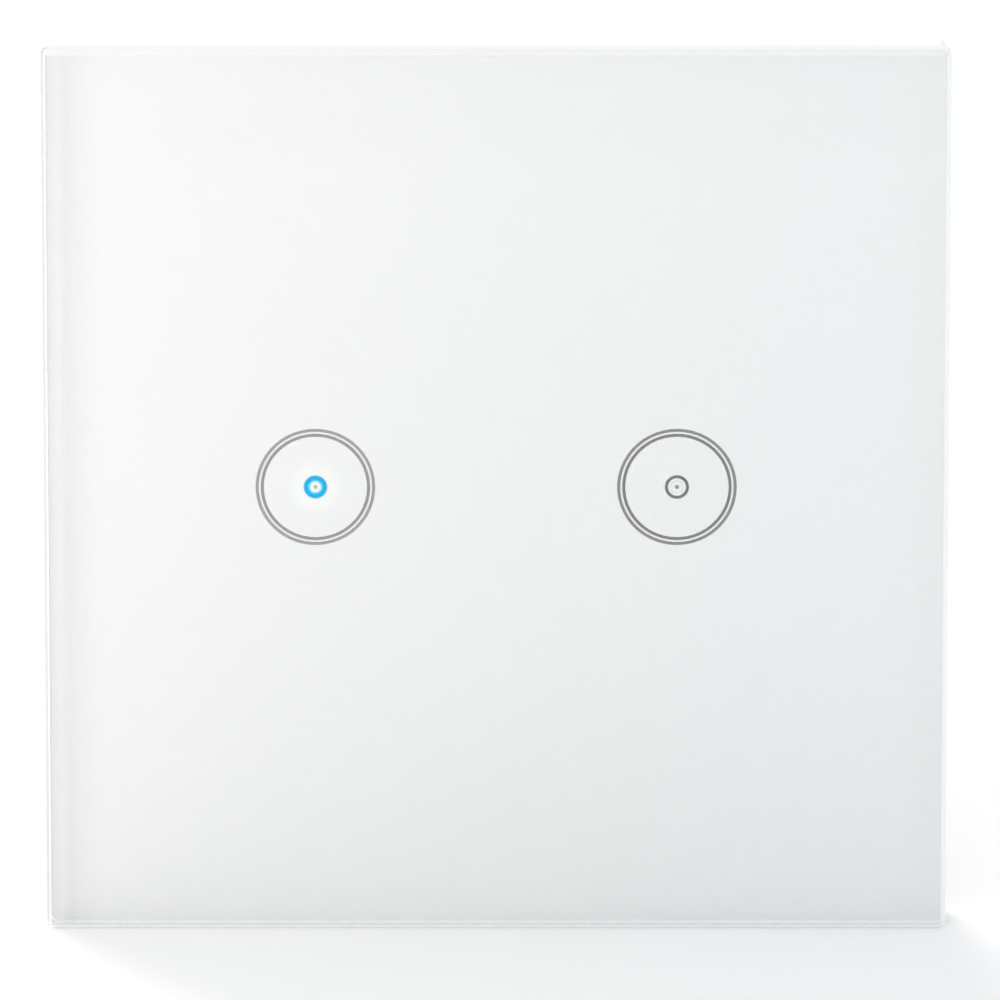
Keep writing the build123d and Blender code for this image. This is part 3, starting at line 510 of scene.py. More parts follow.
@dataclass(frozen=True)
class Leaded(Finish):
    """A coated part whose leads stand out of its body along one axis.

    Attributes:
        axis: Axis along which the leads leave the body.
        middle: Middle of the body on that axis.
        half: Half the body's length on that axis.
        band: Spacing of colour bands on the body, or 0 for none.
        bands: Colour of the bands.
        band_edge: Heights of the bands' wave between which a band's edge lies.
        grind: How far the roughness wanders with the grain.
    """

    axis: Axis = Axis.ACROSS
    middle: float = 0.0
    half: float = 1.0
    band: float = 0.0
    bands: Colour = (0.35, 0.1, 0.03)
    band_edge: Span = (0.35, 0.5)
    grind: float = 0.1

    def dress(self, surface: Surface) -> None:
        """Feeds the shader with a body, its bands and tinned leads."""
        lead = surface.beside(self.axis, self.middle, self.half)
        body = self.tone(surface)
        if self.band:
            away = surface.along(self.axis) - self.middle
            wave = surface.maths("COSINE", away * (2 * math.pi / self.band))
            body = surface.mix(surface.rise(wave, *self.band_edge), body, self.bands)
        rough = surface.noise(self.grain) * self.grind + self.roughness
        surface.set(
            Base_Color=surface.mix(lead, body, TINNED),
            Metallic=lead,
            Roughness=rough - lead * (self.roughness - TINNED_ROUGHNESS),
            Normal=surface.bump(surface.noise(self.grain), self.depth),
        )


@dataclass(frozen=True)
class Wound(Finish):
    """Turns of enamelled wire, side by side round a bobbin.

    Attributes:
        wire: Spacing of the turns.
        second: Darker colour in the grooves between turns, painted shade.
        stray: How far a turn strays from its place, as a share of the spacing.
        stray_size: Size of the patches that it strays in.
    """

    wire: float = 0.14
    second: Colour = (0.3, 0.1, 0.04)
    stray: float = 0.25
    stray_size: float = 0.6

    def dress(self, surface: Surface) -> None:
        """Feeds the shader with the turns."""
        stray = surface.noise(self.stray_size) * self.stray
        turn = surface.maths("SINE", (surface.y / self.wire + stray) * (2 * math.pi)) * 0.5 + 0.5
        # Painted shade: the grooves between turns take the darker colour.
        self.base(surface, surface.mix(turn, self.second, self.colour))
        surface.set(Normal=surface.bump(turn, self.depth))


@dataclass(frozen=True)
class Sleeved(Finish):
    """Shrunk sleeve of round capacitors, with a light stripe down one side and bare metal tops.

    Attributes:
        top: Depth at which the bare top starts.
        centre_x: Middle of the capacitors across.
        centres_z: Middles of the capacitors, from the floor up.
        stripe: Colour of the stripe.
        bare: Colour of the bare metal.
        fold: How far below the top the sleeve starts to end and where it has ended.
        groove: Distances from a groove's middle between which it rises.
        cross_reach: How far the grooves of the cross reach.
        stripe_edge: Distances across, from the middle, between which the stripe starts.
        grind: How far the roughness wanders with the grain.
    """

    top: float = 18.0
    centre_x: float = 0.0
    centres_z: tuple[float, ...] = ()
    stripe: Colour = (0.55, 0.56, 0.58)
    bare: Colour = (0.7, 0.7, 0.7)
    fold: Span = (0.06, 0.02)
    groove: Span = (0.08, 0.2)
    cross_reach: float = 2.6
    stripe_edge: Span = (3.55, 3.6)
    grind: float = 0.1

    def dress(self, surface: Surface) -> None:
        """Feeds the shader with sleeve, stripe and a top with its pressed cross."""
        metal = surface.rise(surface.y, *(self.top - below for below in self.fold))
        cross: Value | float = 1.0
        for centre in self.centres_z:
            away = surface.from_line(self.centre_x, centre)
            across = surface.maths("ABSOLUTE", surface.x - self.centre_x)
            up = surface.maths("ABSOLUTE", surface.z - centre)
            groove = surface.rise(surface.maths("MINIMUM", across, up), *self.groove)
            cross = surface.maths("MINIMUM", groove + (away > self.cross_reach), cross)
        stripe = surface.rise(surface.x, *(self.centre_x + edge for edge in self.stripe_edge))
        sleeve = surface.mix(stripe, self.tone(surface), self.stripe)
        surface.set(
            Base_Color=surface.mix(metal, sleeve, self.bare),
            Metallic=metal,
            Roughness=surface.noise(self.grain) * self.grind + self.roughness,
            Normal=surface.bump(metal * cross, self.depth),
        )


@dataclass(frozen=True)
class PanelPrint(Finish):
    """White screen print behind the glass, with the soft bloom round the lamp that is on.

    Attributes:
        lamp_x: Middle of the indicator that is on.
        inner: Distance at which the bloom is full.
        outer: Distance at which it has faded.
        bloom: Light that the bloom adds.
        spill: Distances between which the disc inside the lit ring takes on the painted blue of the
            lamp's glow.
        spilled: Colour of that painted glow.
        disc: Distance at which that disc ends.
        rim: Where the painted shade along the left rim starts to fade and where it ends.
        painted_rim_shade: How dark that painted shade is, as a share of the colour.
        dark_x: Middle of the indicator that is off.
        halo: Where the soft rim of a dot starts to fade and where it ends.
        halos: Colour of that rim on the left and on the right; the left one is painted lighter,
            painted light of the lamp that is on.
    """

    lamp_x: float = 0.0
    inner: float = 1.6
    outer: float = 3.0
    bloom: Colour = (0.043, 0.051, 0.036)
    spill: Span = (0.38, 0.66)
    spilled: Colour = (0.1, 0.6, 0.78)
    disc: float = 1.0
    rim: Span = (-42.3, -41.4)
    painted_rim_shade: float = 0.955
    dark_x: float = 17.2
    halo: Span = (0.12, 0.28)
    halos: tuple[Colour, Colour] = ((0.5, 0.475, 0.46), (0.36, 0.36, 0.35))

    def dress(self, surface: Surface) -> None:
        """Feeds the shader with the white coat, its painted shade and painted blue glow, and the
        light that spreads in it.
        """
        away = surface.from_line(self.lamp_x, 0)
        # Painted light: the disc inside the lit ring is painted blue, standing in for the lamp's
        # glow.
        spilled = surface.rise(away, *self.spill) * (away < self.disc)
        # Painted shade: the print is darker along its left rim.
        inside = surface.rise(surface.x, *self.rim)
        white = surface.mix(inside, shade(self.colour, self.painted_rim_shade), self.tone(surface))
        # The left halo is painted lighter: painted light of the lit gang.
        for centre, grey in zip((self.lamp_x, self.dark_x), self.halos):
            near = 1 - surface.rise(surface.from_line(centre, 0), *self.halo)
            white = surface.mix(near, white, grey)
        self.base(surface, surface.mix(spilled, white, self.spilled))
        faded = surface.rise(away, self.inner, self.outer)
        surface.set(
            Emission_Color=surface.mix(faded, self.bloom, NO_LIGHT),
            Emission_Strength=1.0,
            Specular_IOR_Level=0.0,
        )


@dataclass(frozen=True)
class RingPrint(Finish):
    """Grey touch rings and dots. The lit gang's marks are painted lighter, painted light from its
    lamp.

    Attributes:
        left_x: Middle of the left gang.
        right_x: Middle of the right gang.
        painted_light_rings: Grey of the outer and the inner ring on the left, painted lighter as
            painted light.
        right_rings: Grey of the outer and the inner ring on the right.
        painted_light_dot: Colour of the left dot, painted lighter as painted light.
        right_dot: Colour of the right dot.
        between: Radius between the outer and the inner ring.
        dot_reach: Radius within which only the dot lies.
    """

    left_x: float = -17.2
    right_x: float = 17.2
    painted_light_rings: tuple[Colour, Colour] = ((0.345, 0.33, 0.322), (0.303, 0.29, 0.282))
    right_rings: tuple[Colour, Colour] = ((0.26, 0.25, 0.244), (0.22, 0.21, 0.204))
    painted_light_dot: Colour = (0.46, 0.44, 0.42)
    right_dot: Colour = (0.28, 0.28, 0.28)
    between: float = 5.3
    dot_reach: float = 1.0

    def dress(self, surface: Surface) -> None:
        """Feeds the shader with each gang's greys."""
        gangs = []
        # The left gang's greys are painted lighter: painted light on the lit gang.
        for x, rings, dot in (
            (self.left_x, self.painted_light_rings, self.painted_light_dot),
            (self.right_x, self.right_rings, self.right_dot),
        ):
            away = surface.from_line(x, 0)
            lines = surface.mix(away > self.between, rings[1], rings[0])
            gangs.append(surface.mix(away < self.dot_reach, lines, dot))
        surface.set(
            Base_Color=surface.mix(surface.x > 0.0, *gangs),
            Roughness=self.roughness,
            Specular_IOR_Level=0.0,
            Normal=surface.bump(surface.noise(self.grain), self.depth),
        )


@dataclass(frozen=True)
class IndicatorPrint(Finish):
    """Translucent window of an indicator: lit by its lamp, or dark with a fine grey ring.

    Attributes:
        centre_x: Middle of the window.
        lit: Whether the lamp behind it is on.
        light: Light of the ring at its inner and its outer edge.
        dye: Painted blue of the window where its lamp's light falls.
        lit_from: Radii between which the light starts.
        lit_to: Radii between which it ends.
        deepen: Radii between which the inner light turns into the outer.
        line: Radius of the grey ring of a dark window.
        line_half: Half the width of that ring.
        line_edge: Distances from the ring's middle between which it ends, as shares of that half.
        line_grey: Its colour.
    """

    centre_x: float = 0.0
    lit: bool = False
    light: tuple[Colour, Colour] = ((0.03, 0.36, 0.5), (0.0, 0.215, 0.37))
    dye: Colour = (0.0, 0.2, 0.4)
    lit_from: Span = (0.42, 0.7)
    lit_to: Span = (1.02, 1.2)
    deepen: Span = (0.6, 0.9)
    line: float = 1.0
    line_half: float = 0.15
    line_edge: Span = (0.6, 1.4)
    line_grey: Colour = (0.17, 0.17, 0.165)

    def dress(self, surface: Surface) -> None:
        """Feeds the shader with the lit ring or the grey one."""
        away = surface.from_line(self.centre_x, 0)
        surface.set(Roughness=self.roughness, Specular_IOR_Level=0.0)
        if self.lit:
            glow = surface.rise(away, *self.lit_from) * (1 - surface.rise(away, *self.lit_to))
            light = surface.mix(surface.rise(away, *self.deepen), *self.light)
            # Painted light: the lit ring's blue base colour stands in for its lamp's light, beside
            # the emission.
            surface.set(
                Base_Color=surface.mix(glow, self.colour, self.dye),
                Emission_Color=surface.mix(glow, NO_LIGHT, light),
                Emission_Strength=1.0,
            )
        else:
            off = surface.maths("ABSOLUTE", away - self.line)
            ring = 1 - surface.rise(off, *(self.line_half * share for share in self.line_edge))
            surface.set(Base_Color=surface.mix(ring, self.colour, self.line_grey))


@dataclass(frozen=True)
class ClearSheet(Finish):
    """Polished face of a clear sheet: it mirrors more the more it is seen from the side.

    Attributes:
        straight: Share that it mirrors when it is seen straight on.
        steep: Power with which that share grows towards the side.
    """

    straight: float = 0.012
    steep: float = 5.0

    def dress(self, surface: Surface) -> None:
        """Mixes what shows through the sheet with what it mirrors."""
        aside = surface.out("ShaderNodeLayerWeight", None, {"Blend": 0.5}, "Facing")
        mirrored = surface.maths("POWER", aside, self.steep) * (1 - self.straight) + self.straight
        clear = surface.out("ShaderNodeBsdfTransparent", None, {0: opaque(self.colour)})
        gloss = surface.out("ShaderNodeBsdfGlossy", None, {"Roughness": self.roughness})
        surface.end(surface.node("ShaderNodeMixShader", None, {0: mirrored, 1: clear, 2: gloss}))


@dataclass(frozen=True)
class PolishedEdge(Finish):
    """Polished chamfer and side of a glass sheet, bright with light from inside the glass, with
    painted shade along its edges.

    Attributes:
        half: Half the width of the sheet.
        chamfer: Width of the chamfer.
        line: Width of the fine line of painted shade on either side of the chamfer.
        painted_line_shades: How dark that painted shade is on the left, on the right and top, and
            at the bottom,
        as shares of the colour.
        band: Distances from the left side between which the painted shade on the outer band of the
            left
        chamfer fades.
        painted_band_shade: How dark that painted band is.
        painted_right_shade: How dark the painted shade on the right chamfer is.
        seam_shade: How dark the seam behind is.
        front: Depth at which the chamfer in front ends.
        rear: Depth at which the seam behind starts.
        margin: How far a face may lie off its place and still count as there.
        chamfer_body: How little shows through the chamfer.
        side_body: How little shows through the side.
        top_body: How little shows through the top.
        grind: How far the roughness wanders with the grain.
    """

    half: float = 43.0
    chamfer: float = 0.5
    line: float = 0.09
    painted_line_shades: tuple[float, float, float] = (0.36, 0.97, 0.55)
    band: Span = (0.22, 0.36)
    painted_band_shade: float = 0.68
    painted_right_shade: float = 0.96
    seam_shade: float = 0.92
    front: float = -7.5
    rear: float = -5.8
    margin: float = 0.01
    chamfer_body: float = 0.7
    side_body: float = 0.15
    top_body: float = 1.0
    grind: float = 0.1

    def dress(self, surface: Surface) -> None:
        """Feeds the shader with the edge and its fine lines of painted shade."""
        across, up = (surface.maths("ABSOLUTE", part) for part in (surface.x, surface.z))
        furthest = surface.maths("MAXIMUM", across, up)
        inner_half = self.half - self.chamfer
        inward = surface.rise(furthest, inner_half, inner_half + self.line)
        outward = 1 - surface.rise(furthest, self.half - self.line, self.half)
        outward = surface.maths("MAXIMUM", outward, surface.x < -inner_half)
        chamfer = surface.y < self.front + self.margin
        seam = surface.y > self.rear - self.margin
        plain = surface.mix(seam, self.colour, shade(self.colour, self.seam_shade))
        # Painted shade: a dimmer outer band on the left chamfer and a darker right chamfer.
        inner_band = surface.rise(surface.x, *(edge - self.half for edge in self.band))
        lit = surface.mix(inner_band, shade(self.colour, self.painted_band_shade), self.colour)
        lit = surface.mix(surface.x > inner_half, lit, shade(self.colour, self.painted_right_shade))
        # Painted shade: fine darker lines along the chamfer's edges, darkest on the left.
        left, faint, bottom = (shade(self.colour, share) for share in self.painted_line_shades)
        dark = surface.mix(surface.x < -inner_half, bottom, left)
        dark = surface.mix(surface.maths("MAXIMUM", surface.x, surface.z) > inner_half, dark, faint)
        lined = surface.mix(inward * outward, dark, lit)
        top = (surface.z > self.half - self.margin) * (1 - chamfer)
        clear_side = top * (self.top_body - self.side_body) + self.side_body
        body = clear_side + chamfer * (self.chamfer_body - self.side_body) + seam * (1 - clear_side)
        surface.set(
            Base_Color=surface.mix(chamfer, plain, lined),
            Roughness=surface.noise(self.grain) * self.grind + self.roughness,
            Alpha=body,
        )


WHITE_PLASTIC = Finish("white_moulding", (0.9, 0.905, 0.89), 0.42, grain=0.14, depth=0.004)
HOUSING_PLASTIC = Finish(
    "housing_moulding", (0.5, 0.5, 0.48), 0.5, mottle=0.04, grain=0.22, depth=0.01
)
TERMINAL_PLASTIC = Finish("terminal_moulding", (0.05, 0.22, 0.11), 0.5, grain=0.2, depth=0.008)
BLACK_PLASTIC = Finish("black_moulding", (0.018, 0.018, 0.02), 0.45, grain=0.12, depth=0.006)
RELAY_PLASTIC = Finish(
    "relay_moulding", (0.02, 0.07, 0.26), 0.28, grain=0.2, depth=0.003, coat=0.3
)
BOBBIN_PLASTIC = Finish("bobbin_moulding", (0.7, 0.66, 0.54), 0.5)
FOAM_TAPE = Finish("foam_tape", (0.78, 0.78, 0.76), 0.9, grain=0.3, depth=0.05)
PLATE_STEEL = Spangled(
    "zinc_sheet", (0.66, 0.68, 0.71), 0.36, 1.0, patch=6, grain=0.5, depth=0.004
)
SCREW_STEEL = Drawn(
    "zinc_screw", (0.72, 0.72, 0.7), 0.3, 1.0, grain=0.1, depth=0.004, stretch=(1, 1, 1)
)
SPRING_STEEL = Drawn(
    "spring_wire", (0.78, 0.78, 0.78), 0.22, 1.0, grain=0.05, depth=0.002, stretch=(6, 1, 6)
)
SHIELD_METAL = Drawn(
    "tinned_shield", (0.74, 0.74, 0.71), 0.3, 1.0, grain=0.3, depth=0.004, stretch=(8, 1, 1)
)
SOFT_IRON = Drawn(
    "plated_iron", (0.6, 0.6, 0.59), 0.34, 1.0, grain=0.2, depth=0.004, stretch=(1, 8, 1)
)
CONTACT_BRASS = Drawn(
    "drawn_brass", (0.72, 0.52, 0.2), 0.28, 1.0, grain=0.2, depth=0.004, stretch=(1, 1, 10)
)
CAGE_METAL = Drawn(
    "nickelled_brass", (0.68, 0.64, 0.54), 0.32, 1.0, grain=0.16, depth=0.004, stretch=(1, 9, 1)
)
LEAF_BRONZE = Drawn(
    "bronze_strip", (0.72, 0.48, 0.26), 0.3, 1.0, grain=0.16, depth=0.003, stretch=(1, 1, 12)
)
PIN_GOLD = Drawn(
    "gold_flash", (0.9, 0.68, 0.28), 0.25, 1.0, grain=0.1, depth=0.002, stretch=(1, 10, 1)
)
SOLDER = Finish("solder", (0.66, 0.67, 0.68), 0.25, 1.0, patch=1.0, grain=0.2, depth=0.01)
TOUCH_LACQUER = BoardLacquer(
    "white_solder_mask",
    (0.74, 0.75, 0.73),
    0.3,
    depth=0.03,
    coat=0.3,
    copper=(0.66, 0.67, 0.65),
)
POWER_LACQUER = BoardLacquer(
    "green_solder_mask",
    (0.012, 0.1, 0.045),
    0.3,
    depth=0.03,
    coat=0.3,
    track=3.4,
    copper=(0.03, 0.19, 0.08),
)
MODULE_LACQUER = BoardLacquer(
    "blue_solder_mask",
    (0.008, 0.02, 0.09),
    0.3,
    depth=0.02,
    coat=0.3,
    track=1.3,
    copper=(0.02, 0.05, 0.17),
)
FERRITE = Finish(
    "pressed_ferrite", (0.04, 0.04, 0.043), 0.6, mottle=0.15, patch=2, grain=0.1, depth=0.01
)
YELLOW_TAPE = Wound(
    "polyester_tape", (0.82, 0.58, 0.05), 0.25, depth=0.01, wire=3.1, second=(0.74, 0.5, 0.04)
)
COPPER_WIRE = Wound("copper_winding", (0.62, 0.26, 0.1), 0.3, 0.8, depth=0.05)
YELLOW_BOX = Finish("potted_box", (0.78, 0.56, 0.06), 0.35, grain=0.3, depth=0.005)
CHIP_CERAMIC = Finish("chip_ceramic", (0.3, 0.2, 0.13), 0.4, patch=0.8, grain=0.1, depth=0.004)
CLEAR_ACRYLIC = Finish(
    "clear_acrylic", (0.86, 0.9, 0.92), 0.12, mottle=0.01, coat=0.5, depth=0.002
)
LAMP_FACE = Finish(
    "lamp_phosphor", (0.86, 0.82, 0.5), 0.35, patch=0.5, grain=0.08, depth=0.004
)


def paint(finish: Finish, *names: str) -> None:
    """Gives frame pieces a finish.

    Args:
        finish: The finish.
        *names: The frame's names for the pieces.
    """
    for name in names:
        piece = bpy.data.objects[name]
        piece.data.materials.clear()
        piece.data.materials.append(finish.material())


def box(name: str) -> tuple[Vector, Vector]:
    """Lowest and highest corner of a frame piece, in millimetres."""
    low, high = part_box(name)
    return Vector(low) / MM, Vector(high) / MM


def middle(name: str) -> Vector:
    """Middle of a frame piece's box, in millimetres."""
    low, high = box(name)
    return (low + high) / 2


def link(piece: bpy.types.Object) -> bpy.types.Object:
    """Puts an object in the scene."""
    bpy.context.scene.collection.objects.link(piece)
    return piece


class Shape(Tree):
    """A geometry node tree that makes one small thing and sets it down at each given place.

    Args:
        name: Name of the tree.
        sizes: Usual value of each named size.
        finishes: Name of each finish that it takes.
    """

    def __init__(self, name: str, sizes: dict[str, float], finishes: tuple[str, ...]) -> None:
        """Makes the tree with its named inputs."""
        super().__init__(bpy.data.node_groups.new(name, "GeometryNodeTree"))
        sockets = self.nodes.interface
        sockets.new_socket(name="Places", in_out="INPUT", socket_type="NodeSocketGeometry")
        for label, size in sizes.items():
            made = sockets.new_socket(name=label, in_out="INPUT", socket_type="NodeSocketFloat")
            made.default_value = size
        for label in finishes:
            sockets.new_socket(name=label, in_out="INPUT", socket_type="NodeSocketMaterial")
        sockets.new_socket(name="Shape", in_out="OUTPUT", socket_type="NodeSocketGeometry")
        self.entry = self.node("NodeGroupInput")
        self.exit = self.node("NodeGroupOutput")

    def given(self, label: str) -> Value:
        """The value of a named input."""
        return Value(self, self.entry.outputs[label])

    def join(self, *parts: Value) -> Value:
        """Joins shapes into one."""
        joined = self.node("GeometryNodeJoinGeometry")
        for part in reversed(parts):
            self.nodes.links.new(part.socket, joined.inputs[0])
        return Value(self, joined.outputs[0])

    def move(self, part: Value, **sockets: object) -> Value:
        """Moves, turns or scales a shape, by Translation, Rotation or Scale."""
        return self.out("GeometryNodeTransform", None, {0: part, **sockets})

    def block(self, x: object, y: object, z: object) -> Value:
        """A block round the origin."""
        return self.out("GeometryNodeMeshCube", None, {"Size": self.vector(x, y, z)})

    def rod(self, radius: object, length: object, sides: int = 24) -> Value:
        """A rod along Z, round the origin."""
        sockets = {"Vertices": sides, "Radius": radius, "Depth": length}
        return self.out("GeometryNodeMeshCylinder", None, sockets)

    def cone(self, foot: object, top: object, length: object, sides: int = 24) -> Value:
        """A cone along Z that stands on the origin."""
        sockets = {"Vertices": sides, "Radius Bottom": foot, "Radius Top": top, "Depth": length}
        return self.out("GeometryNodeMeshCone", None, sockets)

    def close(self, parts: dict[str, Value], spin: float = 0.0) -> None:
        """Sets the parts down at each place, gives each its finish and ends the tree.

        Args:
            parts: The parts by the label of their finish.
            spin: How far each copy may be turned about the depth axis, at random.
        """
        turned = self.out(
            "FunctionNodeRandomValue",
            {"data_type": "FLOAT_VECTOR"},
            {0: (0.0, -spin, 0.0), 1: (0.0, spin, 0.0), "Seed": SEED},
        )
        coated = []
        for label, part in parts.items():
            sockets = {"Points": self.given("Places"), "Instance": part, "Rotation": turned}
            placed = self.out("GeometryNodeInstanceOnPoints", None, sockets)
            metres = self.move(placed, Scale=(MM, MM, MM))
            real = self.out("GeometryNodeRealizeInstances", None, {0: metres})
            finish = {0: real, "Material": self.given(label)}
            coated.append(self.out("GeometryNodeSetMaterial", None, finish))
        self.nodes.links.new(self.join(*coated).socket, self.exit.inputs[0])

    def grow(
        self, name: str, places: list[Place], sizes: dict[str, float], finishes: dict[str, Finish]
    ) -> bpy.types.Object:
        """Makes a piece from the tree.

        Args:
            name: Name of the piece.
            places: Where each copy goes.
            sizes: The sizes that differ from the usual ones.
            finishes: The finish of each named part.

        Returns:
            The piece, a plain mesh.
        """
        seeds = bpy.data.meshes.new(f"{name}_places")
        seeds.from_pydata(places, [], [])
        carrier = link(bpy.data.objects.new(f"{name}_places", seeds))
        growth = carrier.modifiers.new("growth", "NODES")
        growth.node_group = self.nodes
        given = sizes | {label: finish.material() for label, finish in finishes.items()}
        for item in self.nodes.interface.items_tree:
            if item.in_out == "INPUT" and item.name in given:
                growth[item.identifier] = given[item.name]
        grown = carrier.evaluated_get(bpy.context.evaluated_depsgraph_get())
        mesh = bpy.data.meshes.new_from_object(grown)
        mesh.name = name
        if mesh.materials[0] is None:
            mesh.materials.pop(index=0)
        bpy.data.objects.remove(carrier)
        bpy.data.meshes.remove(seeds)
        return link(bpy.data.objects.new(name, mesh))


@dataclass(frozen=True)
class ScrewSize:
    """Sizes of one kind of screw, each for the screw tree's input of the same name.

    Attributes:
        head_radius: Radius of the head.
        head_height: Height of the head.
        shank_radius: Radius over the thread.
        length: Length under the head.
        pitch: Rise of the thread in a turn.
        thread_depth: Depth of the thread.
        slot_width: Width of the two slots of the recess.
        slot_length: Length of the one slot.
        cross_length: Length of the slot across it.
        recess_depth: Depth of the recess.
        turn: Turn about X that points the head its way.
    """

    head_radius: float = 2.0
    head_height: float = 1.2
    shank_radius: float = 1.2
    length: float = 4.0
    pitch: float = 0.6
    thread_depth: float = 0.18
    slot_width: float = 0.55
    slot_length: float = 2.6
    cross_length: float = 2.6
    recess_depth: float = 0.7
    turn: float = Facing.ROOM.value

    def inputs(self) -> dict[str, float]:
        """The sizes by the names of the tree's inputs."""
        return {name.replace("_", " ").title(): size for name, size in vars(self).items()}


FLANGE_SCREW = ScrewSize(head_radius=2.1, shank_radius=1.25)
BOARD_SCREW = ScrewSize(
    head_radius=1.9, shank_radius=0.95, slot_width=0.45, slot_length=2.1, cross_length=2.1
)
CLAMP_SCREW = ScrewSize(
    head_height=1.6,
    shank_radius=1.5,
    pitch=0.5,
    thread_depth=0.16,
    slot_width=0.6,
    slot_length=4.4,
    cross_length=2.2,
    recess_depth=0.75,
    turn=Facing.WALL.value,
)


class ScrewShape(Shape):
    """A screw with a chamfered head, a cross recess with one long slot, a shank and its thread.

    Attributes:
        head_sides: How many sides the head has.
        rim_share: Height of the head's chamfer, as a share of the head's.
        thread_steps: How many steps a turn of the thread has.
        widest_spin: How far a screw may be turned from level, in radians.
    """

    head_sides: int = 40
    rim_share: float = 0.3
    thread_steps: int = 20
    widest_spin: float = 1.5

    def __init__(self) -> None:
        """Builds the tree. The head's seat is at the place, and the head points at the facing."""
        super().__init__("screw", ScrewSize().inputs(), ("Metal",))
        head_radius, head_height = self.given("Head Radius"), self.given("Head Height")
        rim = head_height * self.rim_share
        cheek = self.move(
            self.rod(head_radius, head_height - rim, self.head_sides),
            Translation=self.vector(0, 0, (head_height - rim) / 2),
        )
        crown = self.move(
            self.cone(head_radius, head_radius - rim, rim, self.head_sides),
            Translation=self.vector(0, 0, head_height - rim),
        )
        depth, width = self.given("Recess Depth"), self.given("Slot Width")
        cut_centre = self.vector(0, 0, head_height)
        slot = self.block(self.given("Slot Length"), width, depth * 2)
        cross = self.block(width, self.given("Cross Length"), depth * 2)
        cutters = [self.move(cutter, Translation=cut_centre) for cutter in (slot, cross)]
        head = [self.carve(part, *cutters) for part in (cheek, crown)]
        shank_radius, length = self.given("Shank Radius"), self.given("Length")
        thread_depth, pitch = self.given("Thread Depth"), self.given("Pitch")
        core = shank_radius - thread_depth
        shank = self.move(self.rod(core, length), Translation=self.vector(0, 0, length * -0.5))
        spiral = self.out(
            "GeometryNodeCurveSpiral",
            None,
            {
                "Resolution": self.thread_steps,
                "Rotations": (length - pitch) / pitch,
                "Start Radius": core,
                "End Radius": core,
                "Height": length - pitch,
            },
        )
        profile = {"Resolution": 4, "Radius": thread_depth}
        ridge = self.out("GeometryNodeCurvePrimitiveCircle", None, profile)
        thread = self.out("GeometryNodeCurveToMesh", None, {0: spiral, 1: ridge, "Fill Caps": True})
        thread = self.move(thread, Translation=self.vector(0, 0, pitch * 0.5 - length))
        whole = self.join(*head, shank, thread)
        turned = self.move(whole, Rotation=self.vector(self.given("Turn"), 0, 0))
        self.close({"Metal": turned}, spin=self.widest_spin)

    def drive(self, name: str, places: list[Place], size: ScrewSize) -> bpy.types.Object:
        """Makes plated screws of one size.

        Args:
            name: Name of the piece.
            places: Where each screw's seat is.
            size: The size.

        Returns:
            The piece.
        """
        return self.grow(name, places, size.inputs(), {"Metal": SCREW_STEEL})

    def carve(self, part: Value, *cutters: Value) -> Value:
        """Cuts shapes out of another."""
        cut = self.node("GeometryNodeMeshBoolean", {"operation": "DIFFERENCE"}, {0: part})
        for cutter in cutters:
            self.nodes.links.new(cutter.socket, cut.inputs[1])
        return Value(self, cut.outputs[0])


class ChipShape(Shape):
    """A small board part: a ceramic or moulded body between two tinned ends.

    Attributes:
        body_height: Height of the body, as a share of the ends'.
        body_width: Width of the body, as a share of the ends'.
    """

    body_height: float = 0.94
    body_width: float = 0.96

    def __init__(self) -> None:
        """Builds the tree. The part stands on the rear of a board at its place."""
        sizes = {"Length": 1.6, "Width": 0.8, "Height": 0.45, "End": 0.3}
        super().__init__("board_part", sizes, ("Body", "Ends"))
        length, width, height, end = (self.given(label) for label in sizes)
        body = self.block(length - end * 2, height * self.body_height, width * self.body_width)
        shift = (length - end) * 0.5
        ends = [
            self.move(self.block(end, height, width), Translation=self.vector(shift * side, 0, 0))
            for side in (-1, 1)
        ]
        raise_by = self.vector(0, height * 0.5, 0)
        standing = [self.move(part, Translation=raise_by) for part in (body, self.join(*ends))]
        self.close(dict(zip(("Body", "Ends"), standing)))


class JointShape(Shape):
    """A solder joint: a hollow-sided cone round a pin.

    Attributes:
        sides: How many sides it has.
        waist_share: Radius of the waist, as a share of the foot's and the top's together.
        skirt_share: Height of the waist, as a share of the joint's.
    """

    sides: int = 20
    waist_share: float = 0.38
    skirt_share: float = 0.4

    def __init__(self) -> None:
        """Builds the tree. The joint stands on its place and points at the facing."""
        sizes = {"Foot": 0.85, "Top": 0.4, "Height": 0.5, "Turn": Facing.ROOM.value}
        super().__init__("solder_joint", sizes, ("Metal",))
        foot, top, height, turn = (self.given(label) for label in sizes)
        waist = (foot + top) * self.waist_share
        skirt_height = height * self.skirt_share
        skirt = self.cone(foot, waist, skirt_height, self.sides)
        tip = self.move(
            self.cone(waist, top, height * (1 - self.skirt_share), self.sides),
            Translation=self.vector(0, 0, skirt_height),
        )
        smooth = self.out("GeometryNodeSetShadeSmooth", None, {0: self.join(skirt, tip)})
        self.close({"Metal": self.move(smooth, Rotation=self.vector(turn, 0, 0))})


class PadShape(Shape):
    """Plated pads on the edge of a board."""

    def __init__(self) -> None:
        """Builds the tree. Each pad is a thin block round its place."""
        sizes = {"Across": 1.0, "Through": 0.9, "Up": 1.0}
        super().__init__("edge_pad", sizes, ("Metal",))
        self.close({"Metal": self.block(*(self.given(label) for label in sizes))})


@dataclass
class Shapes:
    """The node trees that repeat things, made once.

    Attributes:
        screw: The screws.
        chip: The small board parts.
        joint: The solder joints.
        pad: The plated pads.
    """

    screw: ScrewShape = field(default_factory=ScrewShape)
    chip: ChipShape = field(default_factory=ChipShape)
    joint: JointShape = field(default_factory=JointShape)
    pad: PadShape = field(default_factory=PadShape)


